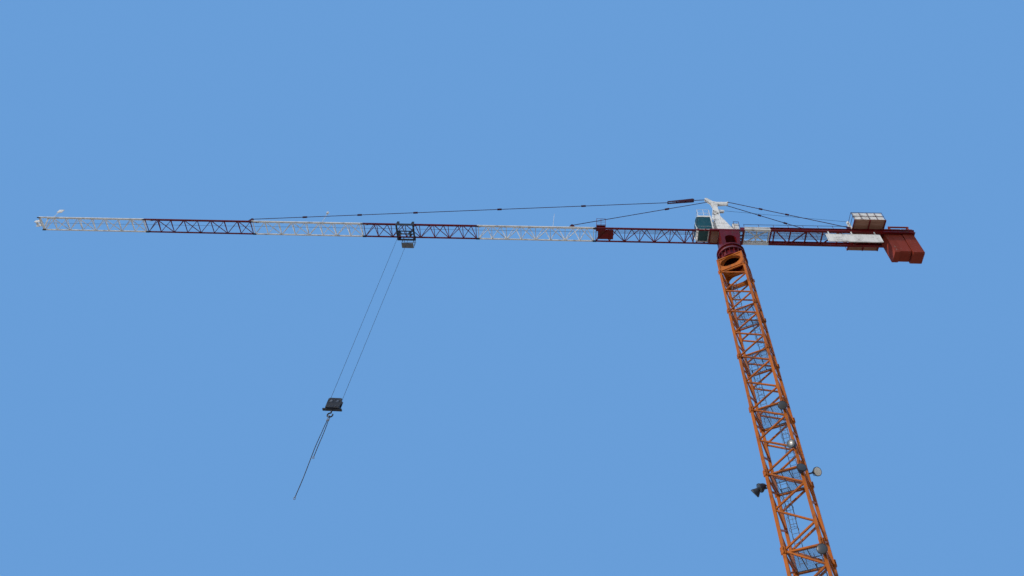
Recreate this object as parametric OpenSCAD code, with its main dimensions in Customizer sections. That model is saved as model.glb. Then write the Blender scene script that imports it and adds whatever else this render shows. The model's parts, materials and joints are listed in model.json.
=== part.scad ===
/* [Mast] */
// Outer width of the square mast
mast_w = 203; // [190:1:215]
// Width of a corner post
post_w = 17; // [13:1:20]
// Height of one mast section
section_h = 500; // [460:5:540]
// Number of mast sections
sections = 10; // [8:1:11]
// Width of a mast bracing bar
brace_w = 9; // [6:0.5:11]
// Angle between the mast's sides and the jib
mast_turn = -28; // [-40:1:-15]
// Height of the slewing support on top of the mast
support_h = 267; // [255:1:300]
// Height of the base cross under the mast
base_h = 120; // [100:1:140]
// Length of one arm of the base cross, from the centre
base_arm = 230; // [215:1:280]
// Radius of a holding-down bolt hole
bolt_r = 3; // [2:0.5:4]

/* [Slewing] */
// Outer radius of the slewing ring
ring_r = 100; // [94:1:104]
// Height of one half of the slewing ring
ring_h = 22; // [16:1:30]
// Height of the turret, from the ring to the slewing frame's underside
turret_h = 270; // [250:5:300]
// Width of the turret's box
turret_w = 150; // [130:1:156]
// Distance from the mast's axis to the slewing frame's front end
frame_front = 142; // [135:1:150]
// Distance from the mast's axis to the slewing frame's back end
frame_back = 140; // [130:1:150]

/* [Cab] */
// Distance from the mast's axis to the cab's back
cab_back = 105; // [98:1:112]
// Length of the cab, over its bulged front
cab_l = 145; // [130:1:150]
// Width of the cab
cab_w = 126; // [110:1:130]
// Height of the cab
cab_h = 230; // [210:1:245]
// Thickness of the cab's walls
cab_t = 4; // [3:0.5:6]

/* [Jib] */
// Distance between the two bottom chords
jib_w = 128; // [120:1:136]
// Height from the bottom chords to the top chord
jib_h = 100; // [90:1:110]
// Length of one jib section
jib_section = 1000; // [1000:125:1000]
// Length of the jib's short first section
jib_first = 831; // [800:1:860]
// Length of one lattice bay
jib_bay = 125; // [125:125:250]
// Width of a jib chord
chord_w = 10; // [8:0.5:12]
// Width of a jib bracing bar
lace_w = 5; // [4:0.5:6]
// Radius at which the jib starts
jib_root = 254; // [252:1:262]

/* [Tower head] */
// Height of the tower head's column over the bottom chords
column_h = 505; // [480:5:530]
// Diameter of a tie bar
tie_d = 6; // [5:0.5:8]
// Radius at which the outer tie meets the jib
outer_tie_r = 4150; // [4110:5:4190]
// Radius at which the inner tie meets the jib
inner_tie_r = 1280; // [1250:5:1310]

/* [Counter-jib] */
// Length of the counter-jib, from the mast's axis
cjib_len = 1480; // [1480:1:1500]
// Distance between the centres of the counter-jib's beams
cjib_w = 130; // [126:1:140]
// Height of a counter-jib beam
beam_h = 39; // [34:1:44]
// Width of a counter-jib beam
beam_w = 20; // [16:1:22]
// Height of the counterweight slabs below the beams
ballast_drop = 260; // [240:5:280]
// Thickness of one counterweight slab
slab_t = 42.4; // [40:0.2:43]
// Height of a handrail
rail_h = 95; // [85:1:110]

/* [Trolley and hook] */
// Radius at which the trolley stands
trolley_r = 2707; // [2650:1:2750]
// Length of the trolley
trolley_l = 163; // [150:1:175]
// Depth of the hook block's top below the bottom chords
hook_drop = 2115; // [2050:5:2180]
// Distance between the two falls of rope at the hook block
fall_gap = 78; // [74:1:84]
// Diameter of a hoist rope
rope_d = 2.4; // [1.8:0.1:3]

/* [Hidden] */

seam = 0.3;
mast_z = base_h;
mast_top = mast_z + sections * section_h;
ring_z = mast_top + support_h + seam;
ring_gap = 0.5;
turret_z = ring_z + 2 * ring_h + ring_gap;
chord_drop = 5;
jib_z = turret_z + turret_h + chord_drop;
post_c = (mast_w - post_w) / 2;
post_in = post_c - post_w / 2;
post_out = post_c + post_w / 2;
half_bay = section_h / 4;

mast_col = [0.80, 0.42, 0.08];
red_col = [0.42, 0.09, 0.09];
white_col = [0.86, 0.84, 0.80];
steel_col = [0.45, 0.45, 0.47];
dark_col = [0.10, 0.10, 0.12];
brown_col = [0.45, 0.20, 0.13];

// Square bar from p to q, t wide
module bar(p, q, t) {
    v = q - p;
    translate(p) rotate([0, acos(v.z / norm(v)), atan2(v.y, v.x)])
        translate([-t / 2, -t / 2, 0]) cube([t, t, norm(v)]);
}

// Round bar from p to q, with few sides where n is small
module rod(p, q, d, n = 32) {
    v = q - p;
    translate(p) rotate([0, acos(v.z / norm(v)), atan2(v.y, v.x)])
        cylinder(d = d, h = norm(v), $fn = n);
}

// Block from its low corner to its high corner
module block(lo, hi) translate(lo) cube(hi - lo);

// Plate drawn as seen from the near side, x along the jib and z up, from y0 to y1
module side_plate(y0, y1) translate([0, y1, 0]) rotate([90, 0, 0]) linear_extrude(y1 - y0) children();

// Handrail along x from x0 to x1 at y, its posts on z
module rail_x(x0, x1, y, z, h, posts, d) {
    for (i = [0 : posts - 1]) {
        x = x0 + (x1 - x0) * i / (posts - 1);
        rod([x, y, z], [x, y, z + h], d, 6);
    }
    for (k = [0.5, 1])
        rod([x0 - d / 2, y, z + (h - d / 2) * k], [x1 + d / 2, y, z + (h - d / 2) * k], d, 6);
}

// Handrail along y from y0 to y1 at x, its posts on z
module rail_y(x, y0, y1, z, h, d) {
    for (y = [y0, y1]) rod([x, y, z], [x, y, z + h], d, 6);
    for (k = [0.5, 1])
        rod([x, y0 - d / 2, z + (h - d / 2) * k], [x, y1 + d / 2, z + (h - d / 2) * k], d, 6);
}

module on_mast() rotate(mast_turn) children();

module at_jib() translate([0, 0, jib_z]) children();

// Mast

collar_t = 2;
collar_h = 40;
strut_drop = 12;
platform_t = 4;

// The section joints' levels, without the two ends
joint_levels = [for (i = [1 : sections - 1]) mast_z + i * section_h];

// Flat bar from p to q, w wide, in the plane of a lattice side
module flat_bar(p, q, w) {
    v = q - p;
    translate(p) rotate(atan2(v.y, v.x)) translate([0, -w / 2]) square([norm(v), w]);
}

// One corner post with the collars of its section joints
module mast_post() {
    block([-post_out, -post_out, mast_z], [-post_in, -post_in, mast_top]);
    for (z = joint_levels)
        block([-post_out - collar_t, -post_out - collar_t, z - collar_h / 2],
              [-post_in + collar_t, -post_in + collar_t, z + collar_h / 2]);
}

// The zigzag and the struts of one side, drawn flat: x across, y up
module mast_lacing() {
    intersection() {
        union() {
            for (i = [0 : 2 * sections - 1]) {
                z = mast_z + i * 2 * half_bay;
                flat_bar([-post_c, z], [post_c, z + half_bay], brace_w);
                flat_bar([post_c, z + half_bay], [-post_c, z + 2 * half_bay], brace_w);
            }
            flat_bar([-post_c, mast_z + brace_w], [post_c, mast_z + brace_w], brace_w);
            for (z = concat(joint_levels, [mast_top]))
                flat_bar([-post_c, z - strut_drop], [post_c, z - strut_drop], brace_w);
        }
        difference() {
            translate([-post_c, mast_z]) square([post_c + post_in, mast_top - mast_z]);
            for (z = joint_levels)
                translate([post_in - collar_t, z - collar_h / 2]) square([2 * collar_t, collar_h]);
        }
    }
}

// One flat side: its left post with the lacing that butts on the next side's post
module mast_side() {
    color(mast_col) {
        mast_post();
        translate([0, -post_c, 0]) rotate([90, 0, 0]) linear_extrude(brace_w, center = true) mast_lacing();
    }
}

foot_l = 90;
foot_t = 8;
bolt_in = 45;
bolt_out = 15;
cross_h = 64;

module base_cross() {
    color(mast_col) on_mast() difference() {
        union() {
            for (a = [45, 135]) rotate(a) {
                block([-base_arm + foot_l - 25, -20, 0], [base_arm - foot_l + 25, 20, foot_t]);
                block([-base_arm + foot_l - 25, -8, 0], [base_arm - foot_l + 25, 8, cross_h]);
                block([-base_arm + foot_l - 25, -20, cross_h - foot_t], [base_arm - foot_l + 25, 20, cross_h]);
            }
            for (a = [45 : 90 : 315]) rotate(a) {
                block([base_arm - foot_l, -30, 0], [base_arm, 30, foot_t]);
                translate([base_arm - foot_l, 0, 0]) side_plate(-4, 4)
                    polygon([[0, 0], [foot_l - bolt_in - 12, 0], [foot_l - bolt_in - 12, foot_t + 4], [0, cross_h]]);
                translate([post_c * sqrt(2), 0, 0]) rotate(-45)
                    block([-post_w / 2 - 5, -post_w / 2 - 5, 0], [post_w / 2 + 5, post_w / 2 + 5, base_h]);
            }
        }
        for (a = [45 : 90 : 315]) rotate(a)
            for (b = [bolt_in, bolt_out])
                translate([base_arm - b, 0, -1]) cylinder(r = bolt_r, h = foot_t + 2, $fn = 32);
    }
}

plate_h = 14;
band_z = 22;
band_h = 60;
arch_r = 62;

// One face of the slewing support: the band, and above it a plate with a round opening
module support_face() {
    arch_z = mast_top + (band_z + band_h + support_h - plate_h) / 2 + 2;
    translate([0, -post_c, 0]) rotate([90, 0, 0]) linear_extrude(6, center = true) difference() {
        translate([-post_c, mast_top + band_z]) square([2 * post_c, support_h - plate_h - band_z]);
        translate([0, arch_z]) circle(r = arch_r, $fn = 64);
        translate([-arch_r, arch_z]) square([2 * arch_r, 8]);
    }
}

module slewing_support() {
    color(mast_col) on_mast() difference() {
        union() {
            for (a = [0 : 90 : 270]) rotate(a) {
                block([-post_out, -post_out, mast_top], [-post_in, -post_in, mast_top + support_h - plate_h]);
                block([-post_out - collar_t, -post_out - collar_t, mast_top],
                      [-post_in + collar_t, -post_in + collar_t, mast_top + collar_h / 2]);
                support_face();
                block([-post_c, -post_c - 6, mast_top + band_z], [post_c, -post_c + 6, mast_top + band_z + band_h]);
            }
            block([-post_out, -post_out, mast_top + support_h - plate_h], [post_out, post_out, mast_top + support_h]);
        }
        translate([0, 0, mast_top + support_h - 2 * plate_h]) cylinder(r = ring_r - 26, h = 3 * plate_h, $fn = 64);
    }
}

module ring_half(z) translate([0, 0, z]) difference() {
    cylinder(r = ring_r, h = ring_h, $fn = 96);
    translate([0, 0, -1]) cylinder(r = ring_r - 22, h = ring_h + 2, $fn = 96);
}

module ring_lower() color(steel_col) ring_half(ring_z);

module ring_upper() color(red_col) ring_half(ring_z + ring_h + ring_gap - seam);

ladder_x = 40;
ladder_y = 44;
ladder_w = 36;
stile_d = 4;
rung_d = 2.4;
rung_pitch = 30;
hatch_gap = 6;
deck_out = post_c - brace_w / 2 - seam;
deck_in = post_in - collar_t - seam;

// The ladders change sides at each rest platform
function ladder_side(i) = i % 2 == 0 ? 1 : -1;
function platform_z(i) = mast_z + i * section_h - strut_drop - platform_t / 2;

module mast_ladder() {
    color(steel_col) on_mast() {
        for (i = [0 : sections - 1]) {
            x = ladder_side(i) * ladder_x;
            z0 = i == 0 ? cross_h + seam : platform_z(i) + platform_t + seam;
            z1 = i == sections - 1 ? mast_top - 2 : platform_z(i + 1) + 60;
            for (s = [-1, 1])
                rod([x + s * ladder_w / 2, ladder_y, z0], [x + s * ladder_w / 2, ladder_y, z1], stile_d, 6);
            for (k = [0 : floor((z1 - z0) / rung_pitch - 1)]) {
                z = z0 + (k + 0.5) * rung_pitch;
                rod([x - ladder_w / 2, ladder_y, z], [x + ladder_w / 2, ladder_y, z], rung_d, 6);
            }
        }
    }
}

module rest_platforms() {
    color(steel_col) on_mast() {
        for (i = [1 : sections - 1]) translate([0, 0, platform_z(i)]) difference() {
            union() {
                block([-deck_out, -deck_in, 0], [deck_out, deck_in, platform_t]);
                block([-deck_in, -deck_out, 0], [deck_in, deck_out, platform_t]);
            }
            translate([ladder_side(i - 1) * ladder_x, 0, 0])
                block([-ladder_w / 2 - hatch_gap, ladder_y - 50, -1],
                      [ladder_w / 2 + hatch_gap, ladder_y + stile_d / 2 + seam, platform_t + 1]);
        }
    }
}

arm_t = 6;
lamp_profile = [[0, -10], [12, -10], [16, 0], [26, 18], [26, 24], [0, 24]];

// A floodlight on a mast post: corner c counted anticlockwise from the near left one, z over the ground,
// the arm's direction along the mast's sides, its length, and where the lamp points
module floodlight(c, z, dir, len, tilt, turn) {
    sx = c == 0 || c == 3 ? -1 : 1;
    sy = c < 2 ? -1 : 1;
    on_mast() translate([sx * post_c, sy * post_c, z]) rotate(dir) {
        block([post_w / 2 + seam, -arm_t / 2, -arm_t / 2], [len, arm_t / 2, arm_t / 2]);
        translate([len, 0, 0]) rotate([0, 0, turn]) rotate([0, tilt, 0]) rotate_extrude($fn = 48) polygon(lamp_profile);
    }
}

module floodlights() {
    color(dark_col) {
        floodlight(1, 3225, -90, 40, 100, -20);
        floodlight(1, 3548, -90, 24, 120, 0);
        floodlight(2, 3200, 0, 42, 120, -40);
        floodlight(0, 3040, 180, 30, 120, 20);
        floodlight(0, 3022, 180, 64, 120, -10);
        floodlight(1, 3055, -90, 27, 90, 30);
        floodlight(1, 2555, -90, 22, 100, 0);
    }
}

// Slewing part

flange_r = 110;
flange_t = 14;
skirt_h = 62;
frame_y = jib_w / 2;
frame_w = 14;
frame_h = 20;
saddle_h = frame_h - chord_drop;
box_front = turret_w / 2 - 8;
box_back = turret_w / 2 + 16;
deck_t = 3;

// The turret: flange, conical skirt and box, with an arched way through it
module turret() {
    difference() {
        union() {
            translate([0, 0, turret_z]) rotate_extrude($fn = 96)
                polygon([[0, 0], [flange_r, 0], [flange_r, flange_t], [flange_r - 10, flange_t],
                         [turret_w / 2 + 6, skirt_h], [0, skirt_h]]);
            intersection() {
                translate([0, 0, turret_z]) side_plate(-turret_w, turret_w)
                    polygon([[-box_front, skirt_h - 20], [box_front, skirt_h - 20], [box_back, turret_h * 0.7],
                             [box_back, turret_h], [-box_front, turret_h]]);
                block([-turret_w, -turret_w / 2 + 6, turret_z], [turret_w, turret_w / 2 - 6, turret_z + turret_h]);
            }
        }
        translate([0, 0, turret_z - 1]) cylinder(r = ring_r - 26, h = skirt_h, $fn = 64);
        translate([8, 0, turret_z]) side_plate(-turret_w, turret_w) {
            translate([0, 150]) circle(r = 44, $fn = 48);
            translate([-44, skirt_h + 14]) square([88, 150 - skirt_h - 14]);
        }
    }
}

module turntable() {
    color(red_col) {
        turret();
        at_jib() translate([0, 0, -chord_drop]) {
            for (s = [-1, 1]) {
                block([-frame_front, s * frame_y - frame_w / 2, 0], [frame_back, s * frame_y + frame_w / 2, frame_h]);
                block([-jib_root + seam, s * frame_y - chord_w / 2, 0], [-frame_front, s * frame_y + chord_w / 2, chord_w]);
                for (x = [-jib_root + 12, -frame_front - 38])
                    block([x, s * frame_y - chord_w / 2, 0], [x + 12, s * frame_y + chord_w / 2, frame_h]);
                block([frame_back - 30, s * frame_y - frame_w / 2, 0], [frame_back, s * frame_y + frame_w / 2, beam_h + 10]);
            }
            for (x = [-frame_front, -26, -12, box_back - 8, frame_back - 12])
                block([x, -frame_y, 0], [x + 12, frame_y, frame_h]);
            for (y = [-20, 12]) block([-14, y, 0], [frame_back - 4, y + 8, frame_h - 6]);
            block([-box_front, -frame_y, -3], [box_back, frame_y, 3]);
        }
    }
}

// Cab

cab_x = -cab_back;
cab_front_r = 260;
cab_floor = frame_h - chord_drop + seam;
sill_h = 52;
head_gap = 24;

// The cab's side outline: an upright back and a bulged front that leans back
module cab_outline(inset) {
    intersection() {
        translate([-cab_l, inset]) square([cab_l - inset, cab_h - 2 * inset]);
        translate([-cab_l + cab_front_r, cab_h * 0.42]) circle(r = cab_front_r - inset, $fn = 128);
    }
}

module cab_body(inset) translate([cab_x, 0, jib_z + cab_floor])
    side_plate(-cab_w / 2 + inset, cab_w / 2 - inset) cab_outline(inset);

// A side window's opening, drawn like the outline
module cab_window(gap) {
    intersection() {
        translate([-cab_l, sill_h + gap]) square([cab_l - 12 - gap, cab_h - sill_h - head_gap - 2 * gap]);
        translate([-cab_l + cab_front_r, cab_h * 0.42]) circle(r = cab_front_r - 14 - gap, $fn = 128);
    }
}

pane_t = 1.5;
floor_x0 = -cab_l + 22;
floor_x1 = -44;
floor_y = cab_w / 2 - 12;
front_z0 = 40;
front_z1 = cab_h - 22;

module cab_shell() {
    color(white_col) {
        difference() {
            cab_body(0);
            cab_body(cab_t);
            translate([cab_x, 0, jib_z + cab_floor]) {
                side_plate(-cab_w, cab_w) cab_window(0);
                block([-cab_l - 5, -cab_w / 2 + 10, front_z0], [-cab_l + 60, cab_w / 2 - 10, front_z1]);
                block([floor_x0, -floor_y, -1], [floor_x1, floor_y, cab_t + 1]);
            }
        }
        translate([cab_x, 0, jib_z + cab_floor + cab_h]) {
            for (s = [-1, 1]) rail_x(-cab_l + 40, -6, s * (cab_w / 2 - 8), -1, 118, 3, 3);
            for (x = [-cab_l + 40, -6]) rail_y(x, -cab_w / 2 + 8, cab_w / 2 - 8, -1, 118, 3);
        }
    }
}

module cab_glass() {
    color([0.35, 0.62, 0.62, 0.5]) translate([cab_x, 0, jib_z + cab_floor]) {
        for (s = [-1, 1]) {
            y = s * (cab_w / 2 - 1 - pane_t / 2);
            side_plate(y - pane_t / 2, y + pane_t / 2) cab_window(seam);
        }
        side_plate(-cab_w / 2 + 10 + seam, cab_w / 2 - 10 - seam) intersection() {
            difference() {
                translate([-cab_l + cab_front_r, cab_h * 0.42]) circle(r = cab_front_r - 1, $fn = 128);
                translate([-cab_l + cab_front_r, cab_h * 0.42]) circle(r = cab_front_r - 1 - pane_t, $fn = 128);
            }
            translate([-cab_l, front_z0 + seam]) square([60, front_z1 - front_z0 - 2 * seam]);
        }
        block([floor_x0 + seam, -floor_y + seam, 1], [floor_x1 - seam, floor_y - seam, 1 + pane_t]);
    }
}

// Tower head

foot_front = 67;
foot_back = 60;
knee_z = 290;
knee_front = 84;
knee_back = -16;
top_front = 52;
top_back = -14;
foot_y = 62;
top_y = 14;
wall = 4;
deck_z = frame_h - chord_drop;
arm_y = 8;
arm_w = 4;
pin_y = arm_y + arm_w + 1;
jib_pin = [-98, 0, 646];
inner_pin = [-78, 0, 606];
back_pin = [82, 0, 576];
pin_d = 8;
head_sheave = [24, 0, 434];
head_sheave_r = 14;

// The column's outline from the side, its walls moved in by inset
module column_side(inset) polygon([
    [-foot_front + inset, deck_z], [foot_back - inset, deck_z], [knee_back - inset, knee_z],
    [top_back - inset, column_h], [-top_front + inset, column_h], [-knee_front + inset, knee_z]
]);

// The column's outline from the front
module column_front(inset) polygon([
    [-foot_y + inset, deck_z], [foot_y - inset, deck_z], [top_y - inset, column_h], [-top_y + inset, column_h]
]);

module column(inset) intersection() {
    side_plate(-2 * foot_y, 2 * foot_y) column_side(inset);
    rotate([90, 0, 90]) linear_extrude(4 * foot_y, center = true) column_front(inset);
}

module tower_head() {
    color(white_col) at_jib() {
        difference() {
            column(0);
            difference() {
                column(wall);
                block([-100, -100, column_h - 20], [100, 100, column_h]);
            }
            // Ways through the front and the back, and the open lattice of the upper half
            block([-120, -foot_y + 16, deck_z - 1], [120, foot_y - 16, deck_z + 190]);
            block([-120, -22, deck_z + 210], [120, 22, knee_z - 6]);
            for (k = [0 : 2]) block([-120, -10, knee_z + 12 + k * 60], [120, 10, knee_z + 56 + k * 60]);
            side_plate(-100, 100) {
                polygon([[-76, 308], [-28, 308], [-72, 356]]);
                polygon([[-22, 314], [-20, 372], [-66, 366]]);
                polygon([[-66, 380], [-22, 384], [-60, 424]]);
            }
        }
        for (s = [-1, 1]) side_plate(s * (arm_y + arm_w / 2) - arm_w / 2, s * (arm_y + arm_w / 2) + arm_w / 2)
            polygon([[-50, column_h - 12], [-16, column_h - 12], [-6, 548], [84, 562], [92, 576], [84, 590],
                     [-10, 590], [-42, 602], [-92, 662], [-108, 656], [-106, 636], [-66, 575]]);
        for (p = [jib_pin, inner_pin])
            rod(p - [0, pin_y, 0], p + [0, pin_y, 0], pin_d);
        rod(back_pin - [0, 24, 0], back_pin + [0, 24, 0], pin_d);
        for (s = [-1, 1]) side_plate(s * 8 - 1.5, s * 8 + 1.5)
            polygon([[top_back - 30, 411], [head_sheave.x + 10, 422], [head_sheave.x + 14, 434],
                     [head_sheave.x + 8, 446], [top_back - 30, 460]]);
        rod(head_sheave - [0, 10, 0], head_sheave + [0, 10, 0], 6);
        translate(head_sheave) rotate([90, 0, 0]) cylinder(r = head_sheave_r, h = 8, center = true, $fn = 48);
    }
}

link_in = [-212, 0, 630];
link_out = [-436, 0, 581];
link_y = 9;
link_t = 3;
link_pin_d = 7;

// Unit vector from p to q
function along(p, q) = (q - p) / norm(q - p);

// The link plates by the tower head, and the rod on to its pin
module head_links() {
    {
        for (s = [-1, 1]) side_plate(s * link_y - link_t / 2, s * link_y + link_t / 2)
            polygon([[link_out.x - 6, link_out.z - 9], [link_out.x - 6, link_out.z + 9],
                     [link_in.x, link_in.z + 19], [link_in.x + 10, link_in.z + 8],
                     [link_in.x + 10, link_in.z - 10], [link_in.x, link_in.z - 17]]);
        for (p = [link_in, link_out]) rod(p - [0, link_y + 4, 0], p + [0, link_y + 4, 0], link_pin_d);
        for (k = [0.35, 0.7]) {
            p = link_out + (link_in - link_out) * k;
            block(p - [5, link_y, 5], p + [5, link_y, 5]);
        }
        rod(link_in, jib_pin - along(link_in, jib_pin) * (pin_d / 2 + seam), tie_d, 12);
    }
}

tie_seat = jib_h + chord_w / 2 + seam;
bracket_h = 50;
function tie_end(r) = [-r, 0, tie_seat + bracket_h - 8];

// A tie from a pin to its bracket on the top chord, with couplings at the given radii
module tie(pin, d, r, couplings) {
    to = tie_end(r);
    from = pin + along(pin, to) * (d / 2 + seam);
    rod(from, to, tie_d, 8);
    for (c = couplings) {
        p = from + (to - from) * (c + from.x) / (r + from.x);
        bar(p, p + along(from, to) * 40, tie_d + 6);
    }
    translate([-r, 0, tie_seat]) side_plate(-5, 5)
        polygon([[-30, 0], [30, 0], [8, bracket_h], [-8, bracket_h]]);
}

module outer_tie() color(red_col) at_jib() {
    head_links();
    tie(link_out, link_pin_d, outer_tie_r, [1170, 1920, 2670, 3170, 3660]);
}

module inner_tie() color(red_col) at_jib() tie(inner_pin, pin_d, inner_tie_r, [435]);

// Jib

lace_in = 2;

// Centre of chord k, at radius r from the mast's axis: 0 near bottom, 1 far bottom, 2 top
function chord(k, r) = k == 2 ? [-r, 0, jib_h] : [-r, (k == 0 ? -1 : 1) * jib_w / 2, 0];

// Radius of section n's outer end
function joint_r(n) = jib_root + jib_first + (n - 1) * jib_section;

module jib_section(n) {
    r0 = n == 1 ? jib_root : joint_r(n - 1) + seam;
    r1 = joint_r(n);
    bays = ceil((r1 - r0) / jib_bay - 0.01);
    r = [for (i = [0 : bays]) min(max(r1 - i * jib_bay, r0 + chord_w), r1 - chord_w)];
    at_jib() {
        for (k = [0 : 2]) bar(chord(k, r0), chord(k, r1), chord_w);
        for (i = [0 : bays - 1]) {
            top = chord(2, (r[i] + r[i + 1]) / 2);
            for (k = [0, 1]) {
                foot = [0, (k == 0 ? 1 : -1) * lace_in, 0];
                bar(chord(k, r[i]) + foot, top, lace_w);
                bar(top, chord(k, r[i + 1]) + foot, lace_w);
            }
            bar(chord((i + 1) % 2, r[i]), chord(i % 2, r[i + 1]), lace_w);
        }
        for (x = r) bar(chord(0, x), chord(1, x), lace_w);
        if (n == 1) for (k = [0, 1]) bar(chord(k, r0 + chord_w), chord(2, r0 + chord_w), chord_w - 2);
    }
}

module jib_section_1() color(red_col) jib_section(1);
module jib_section_2() color(white_col) jib_section(2);
module jib_section_3() color(red_col) jib_section(3);
module jib_section_4() color(white_col) jib_section(4);
module jib_section_5() color(red_col) jib_section(5);
module jib_section_6() color(white_col) jib_section(6);

tip_r = joint_r(6);
tip_l = 56;
nose_y = 22;
tip_t = 6;
tip_sheave_r = 12;
tip_sheave = [-tip_r - tip_l + 22, 0, -4];

module jib_tip() {
    color(white_col) at_jib() {
        translate([-tip_r - seam - tip_t, 0, 0]) rotate([90, 0, 90]) linear_extrude(tip_t) difference() {
            polygon([[-jib_w / 2 - 5, -5], [jib_w / 2 + 5, -5], [6, jib_h + 5], [-6, jib_h + 5]]);
            polygon([[-jib_w / 2 + 14, 6], [jib_w / 2 - 14, 6], [4, jib_h - 14], [-4, jib_h - 14]]);
        }
        for (s = [-1, 1]) side_plate(s * nose_y - 2, s * nose_y + 2)
            polygon([[-tip_r - seam - 1, -5], [-tip_r - seam - 1, 24], [-tip_r - tip_l, 12], [-tip_r - tip_l, -18],
                     [-tip_r - tip_l + 24, -22]]);
        for (x = [tip_sheave.x - tip_sheave_r - 8, -tip_r - seam - tip_t - 6])
            block([x, -nose_y, -4], [x + 6, nose_y, 4]);
        translate(tip_sheave) rotate([90, 0, 0]) cylinder(r = tip_sheave_r, h = 7, center = true, $fn = 40);
        rod(tip_sheave - [0, nose_y, 0], tip_sheave + [0, nose_y, 0], 6);
    }
}

winch_r0 = 930;
winch_r1 = 1060;
floor_seat = lace_w / 2 + seam;
drum_x = -1020;
drum_z = 26;
drum_r = 14;

module trolley_winch() {
    color(red_col) at_jib() {
        block([-winch_r1, -46, floor_seat], [-winch_r0, 46, floor_seat + 3]);
        block([-winch_r0 - 50, -22, floor_seat + 3], [-winch_r0 - 6, 22, 40]);
        for (y = [-24, 21]) block([drum_x - 12, y, floor_seat + 3], [drum_x + 12, y + 3, drum_z + 12]);
        rod([drum_x, -22, drum_z], [drum_x, 22, drum_z], 2 * drum_r);
        rod([-winch_r0 - 50, 0, drum_z], [drum_x + 10, 0, drum_z], 12, 24);
        // The cage that stands on the top chord over the drum
        block([-winch_r1 - 14, -30, jib_h + chord_w / 2 + seam], [-winch_r1 + 66, 30, jib_h + chord_w / 2 + seam + 3]);
        for (s = [-1, 1]) rail_x(-winch_r1 - 12, -winch_r1 + 64, s * 28, jib_h + chord_w / 2 + seam + 2, 115, 3, 3);
        rail_y(-winch_r1 - 12, -28, 28, jib_h + chord_w / 2 + seam + 2, 115, 3);
    }
}

rope_clear = seam + rope_d / 2;
guide_r = 12;
guide = [1040, 0, 278];
hoist_drum_r = 24;
hoist_drum = [guide.x + guide_r + 2 * rope_clear + hoist_drum_r, 0, 100];

// Point at the top of a sheave's rope
function rope_over(sheave, r) = sheave + [0, 0, r + rope_clear];

// The trolley's rope inside the jib, and the hoist rope from its drum over the guide to the head's sheave
module running_ropes() {
    drop = guide + [guide_r + rope_clear, 0, 0];
    color(dark_col) at_jib() {
        rod(rope_over([drum_x, 0, drum_z], drum_r), rope_over(tip_sheave, tip_sheave_r), rope_d, 8);
        rod(rope_over(guide, guide_r), rope_over(head_sheave, head_sheave_r), rope_d, 8);
        rod(drop, [drop.x, 0, hoist_drum.z], rope_d, 8);
    }
}

lamp_y = chord_w / 2 + seam;
tip_lamp_r = tip_r - 25;
mid_lamp_r = 3500;
vane_r = 1445;

// A post clamped on the top chord's far side, h over the chord's centre
module chord_post(r, h, d) {
    block([-r - 5, lamp_y, jib_h - 4], [-r + 5, lamp_y + 4, jib_h + 12]);
    rod([-r, lamp_y + 4, jib_h - 2], [-r, lamp_y + 4, jib_h + h], d, 8);
}

module jib_lamps() {
    color(white_col) at_jib() {
        chord_post(tip_lamp_r, 160, 4);
        block([-tip_lamp_r - 24, lamp_y + 3, jib_h + 120], [-tip_lamp_r + 24, lamp_y + 8, jib_h + 170]);
        chord_post(mid_lamp_r, 196, 4);
        translate([-mid_lamp_r, lamp_y + 4, jib_h + 190]) cylinder(r = 10, h = 22, $fn = 32);
        chord_post(vane_r, 260, 3);
    }
}

// Counter-jib

cjib_root = frame_back + seam;
white_end = 350;
beam_z = 7;
beam_top = beam_z + beam_h;
beam_in = cjib_w / 2 - beam_w / 2;
member_z = 22;
member_h = 12;
member_w = 9;
brace_z = 13;
brace_pitch = 255;
grate_z = member_z + member_h + seam;
joist_h = 7;
platform_x0 = 1000;
ballast_x = 1250.5;
slab_gap = 0.5;
slab_drops = [0, 12, 12, -6, -6];
slab_ys = [50, 50, 50, 54, 54];

// A beam of I section on each side
module beam_pair(x0, x1) {
    for (s = [-1, 1]) {
        y = s * cjib_w / 2;
        block([x0, y - beam_w / 2, beam_z], [x1, y + beam_w / 2, beam_z + 5]);
        block([x0, y - beam_w / 2, beam_top - 5], [x1, y + beam_w / 2, beam_top]);
        block([x0, y - 3, beam_z], [x1, y + 3, beam_top]);
    }
}

module cross_member(x) block([x - member_w / 2, -cjib_w / 2, member_z], [x + member_w / 2, cjib_w / 2, member_z + member_h]);

module counter_jib_root() {
    mid = (cjib_root + white_end) / 2;
    color(white_col) at_jib() {
        beam_pair(cjib_root, white_end);
        for (x = [cjib_root + 6, mid, white_end - 6]) cross_member(x);
        for (s = [-1, 1]) {
            bar([cjib_root + 8, s * cjib_w / 2, brace_z + 6], [mid, 0, brace_z + 6], 8);
            bar([mid, 0, brace_z + 6], [white_end - 8, s * cjib_w / 2, brace_z + 6], 8);
        }
    }
}

first_node = 387;
brace_nodes = [for (i = [0 : 6]) first_node + i * brace_pitch / 2];
function brace_side(i) = i % 2 == 0 ? -1 : 1;

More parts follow.
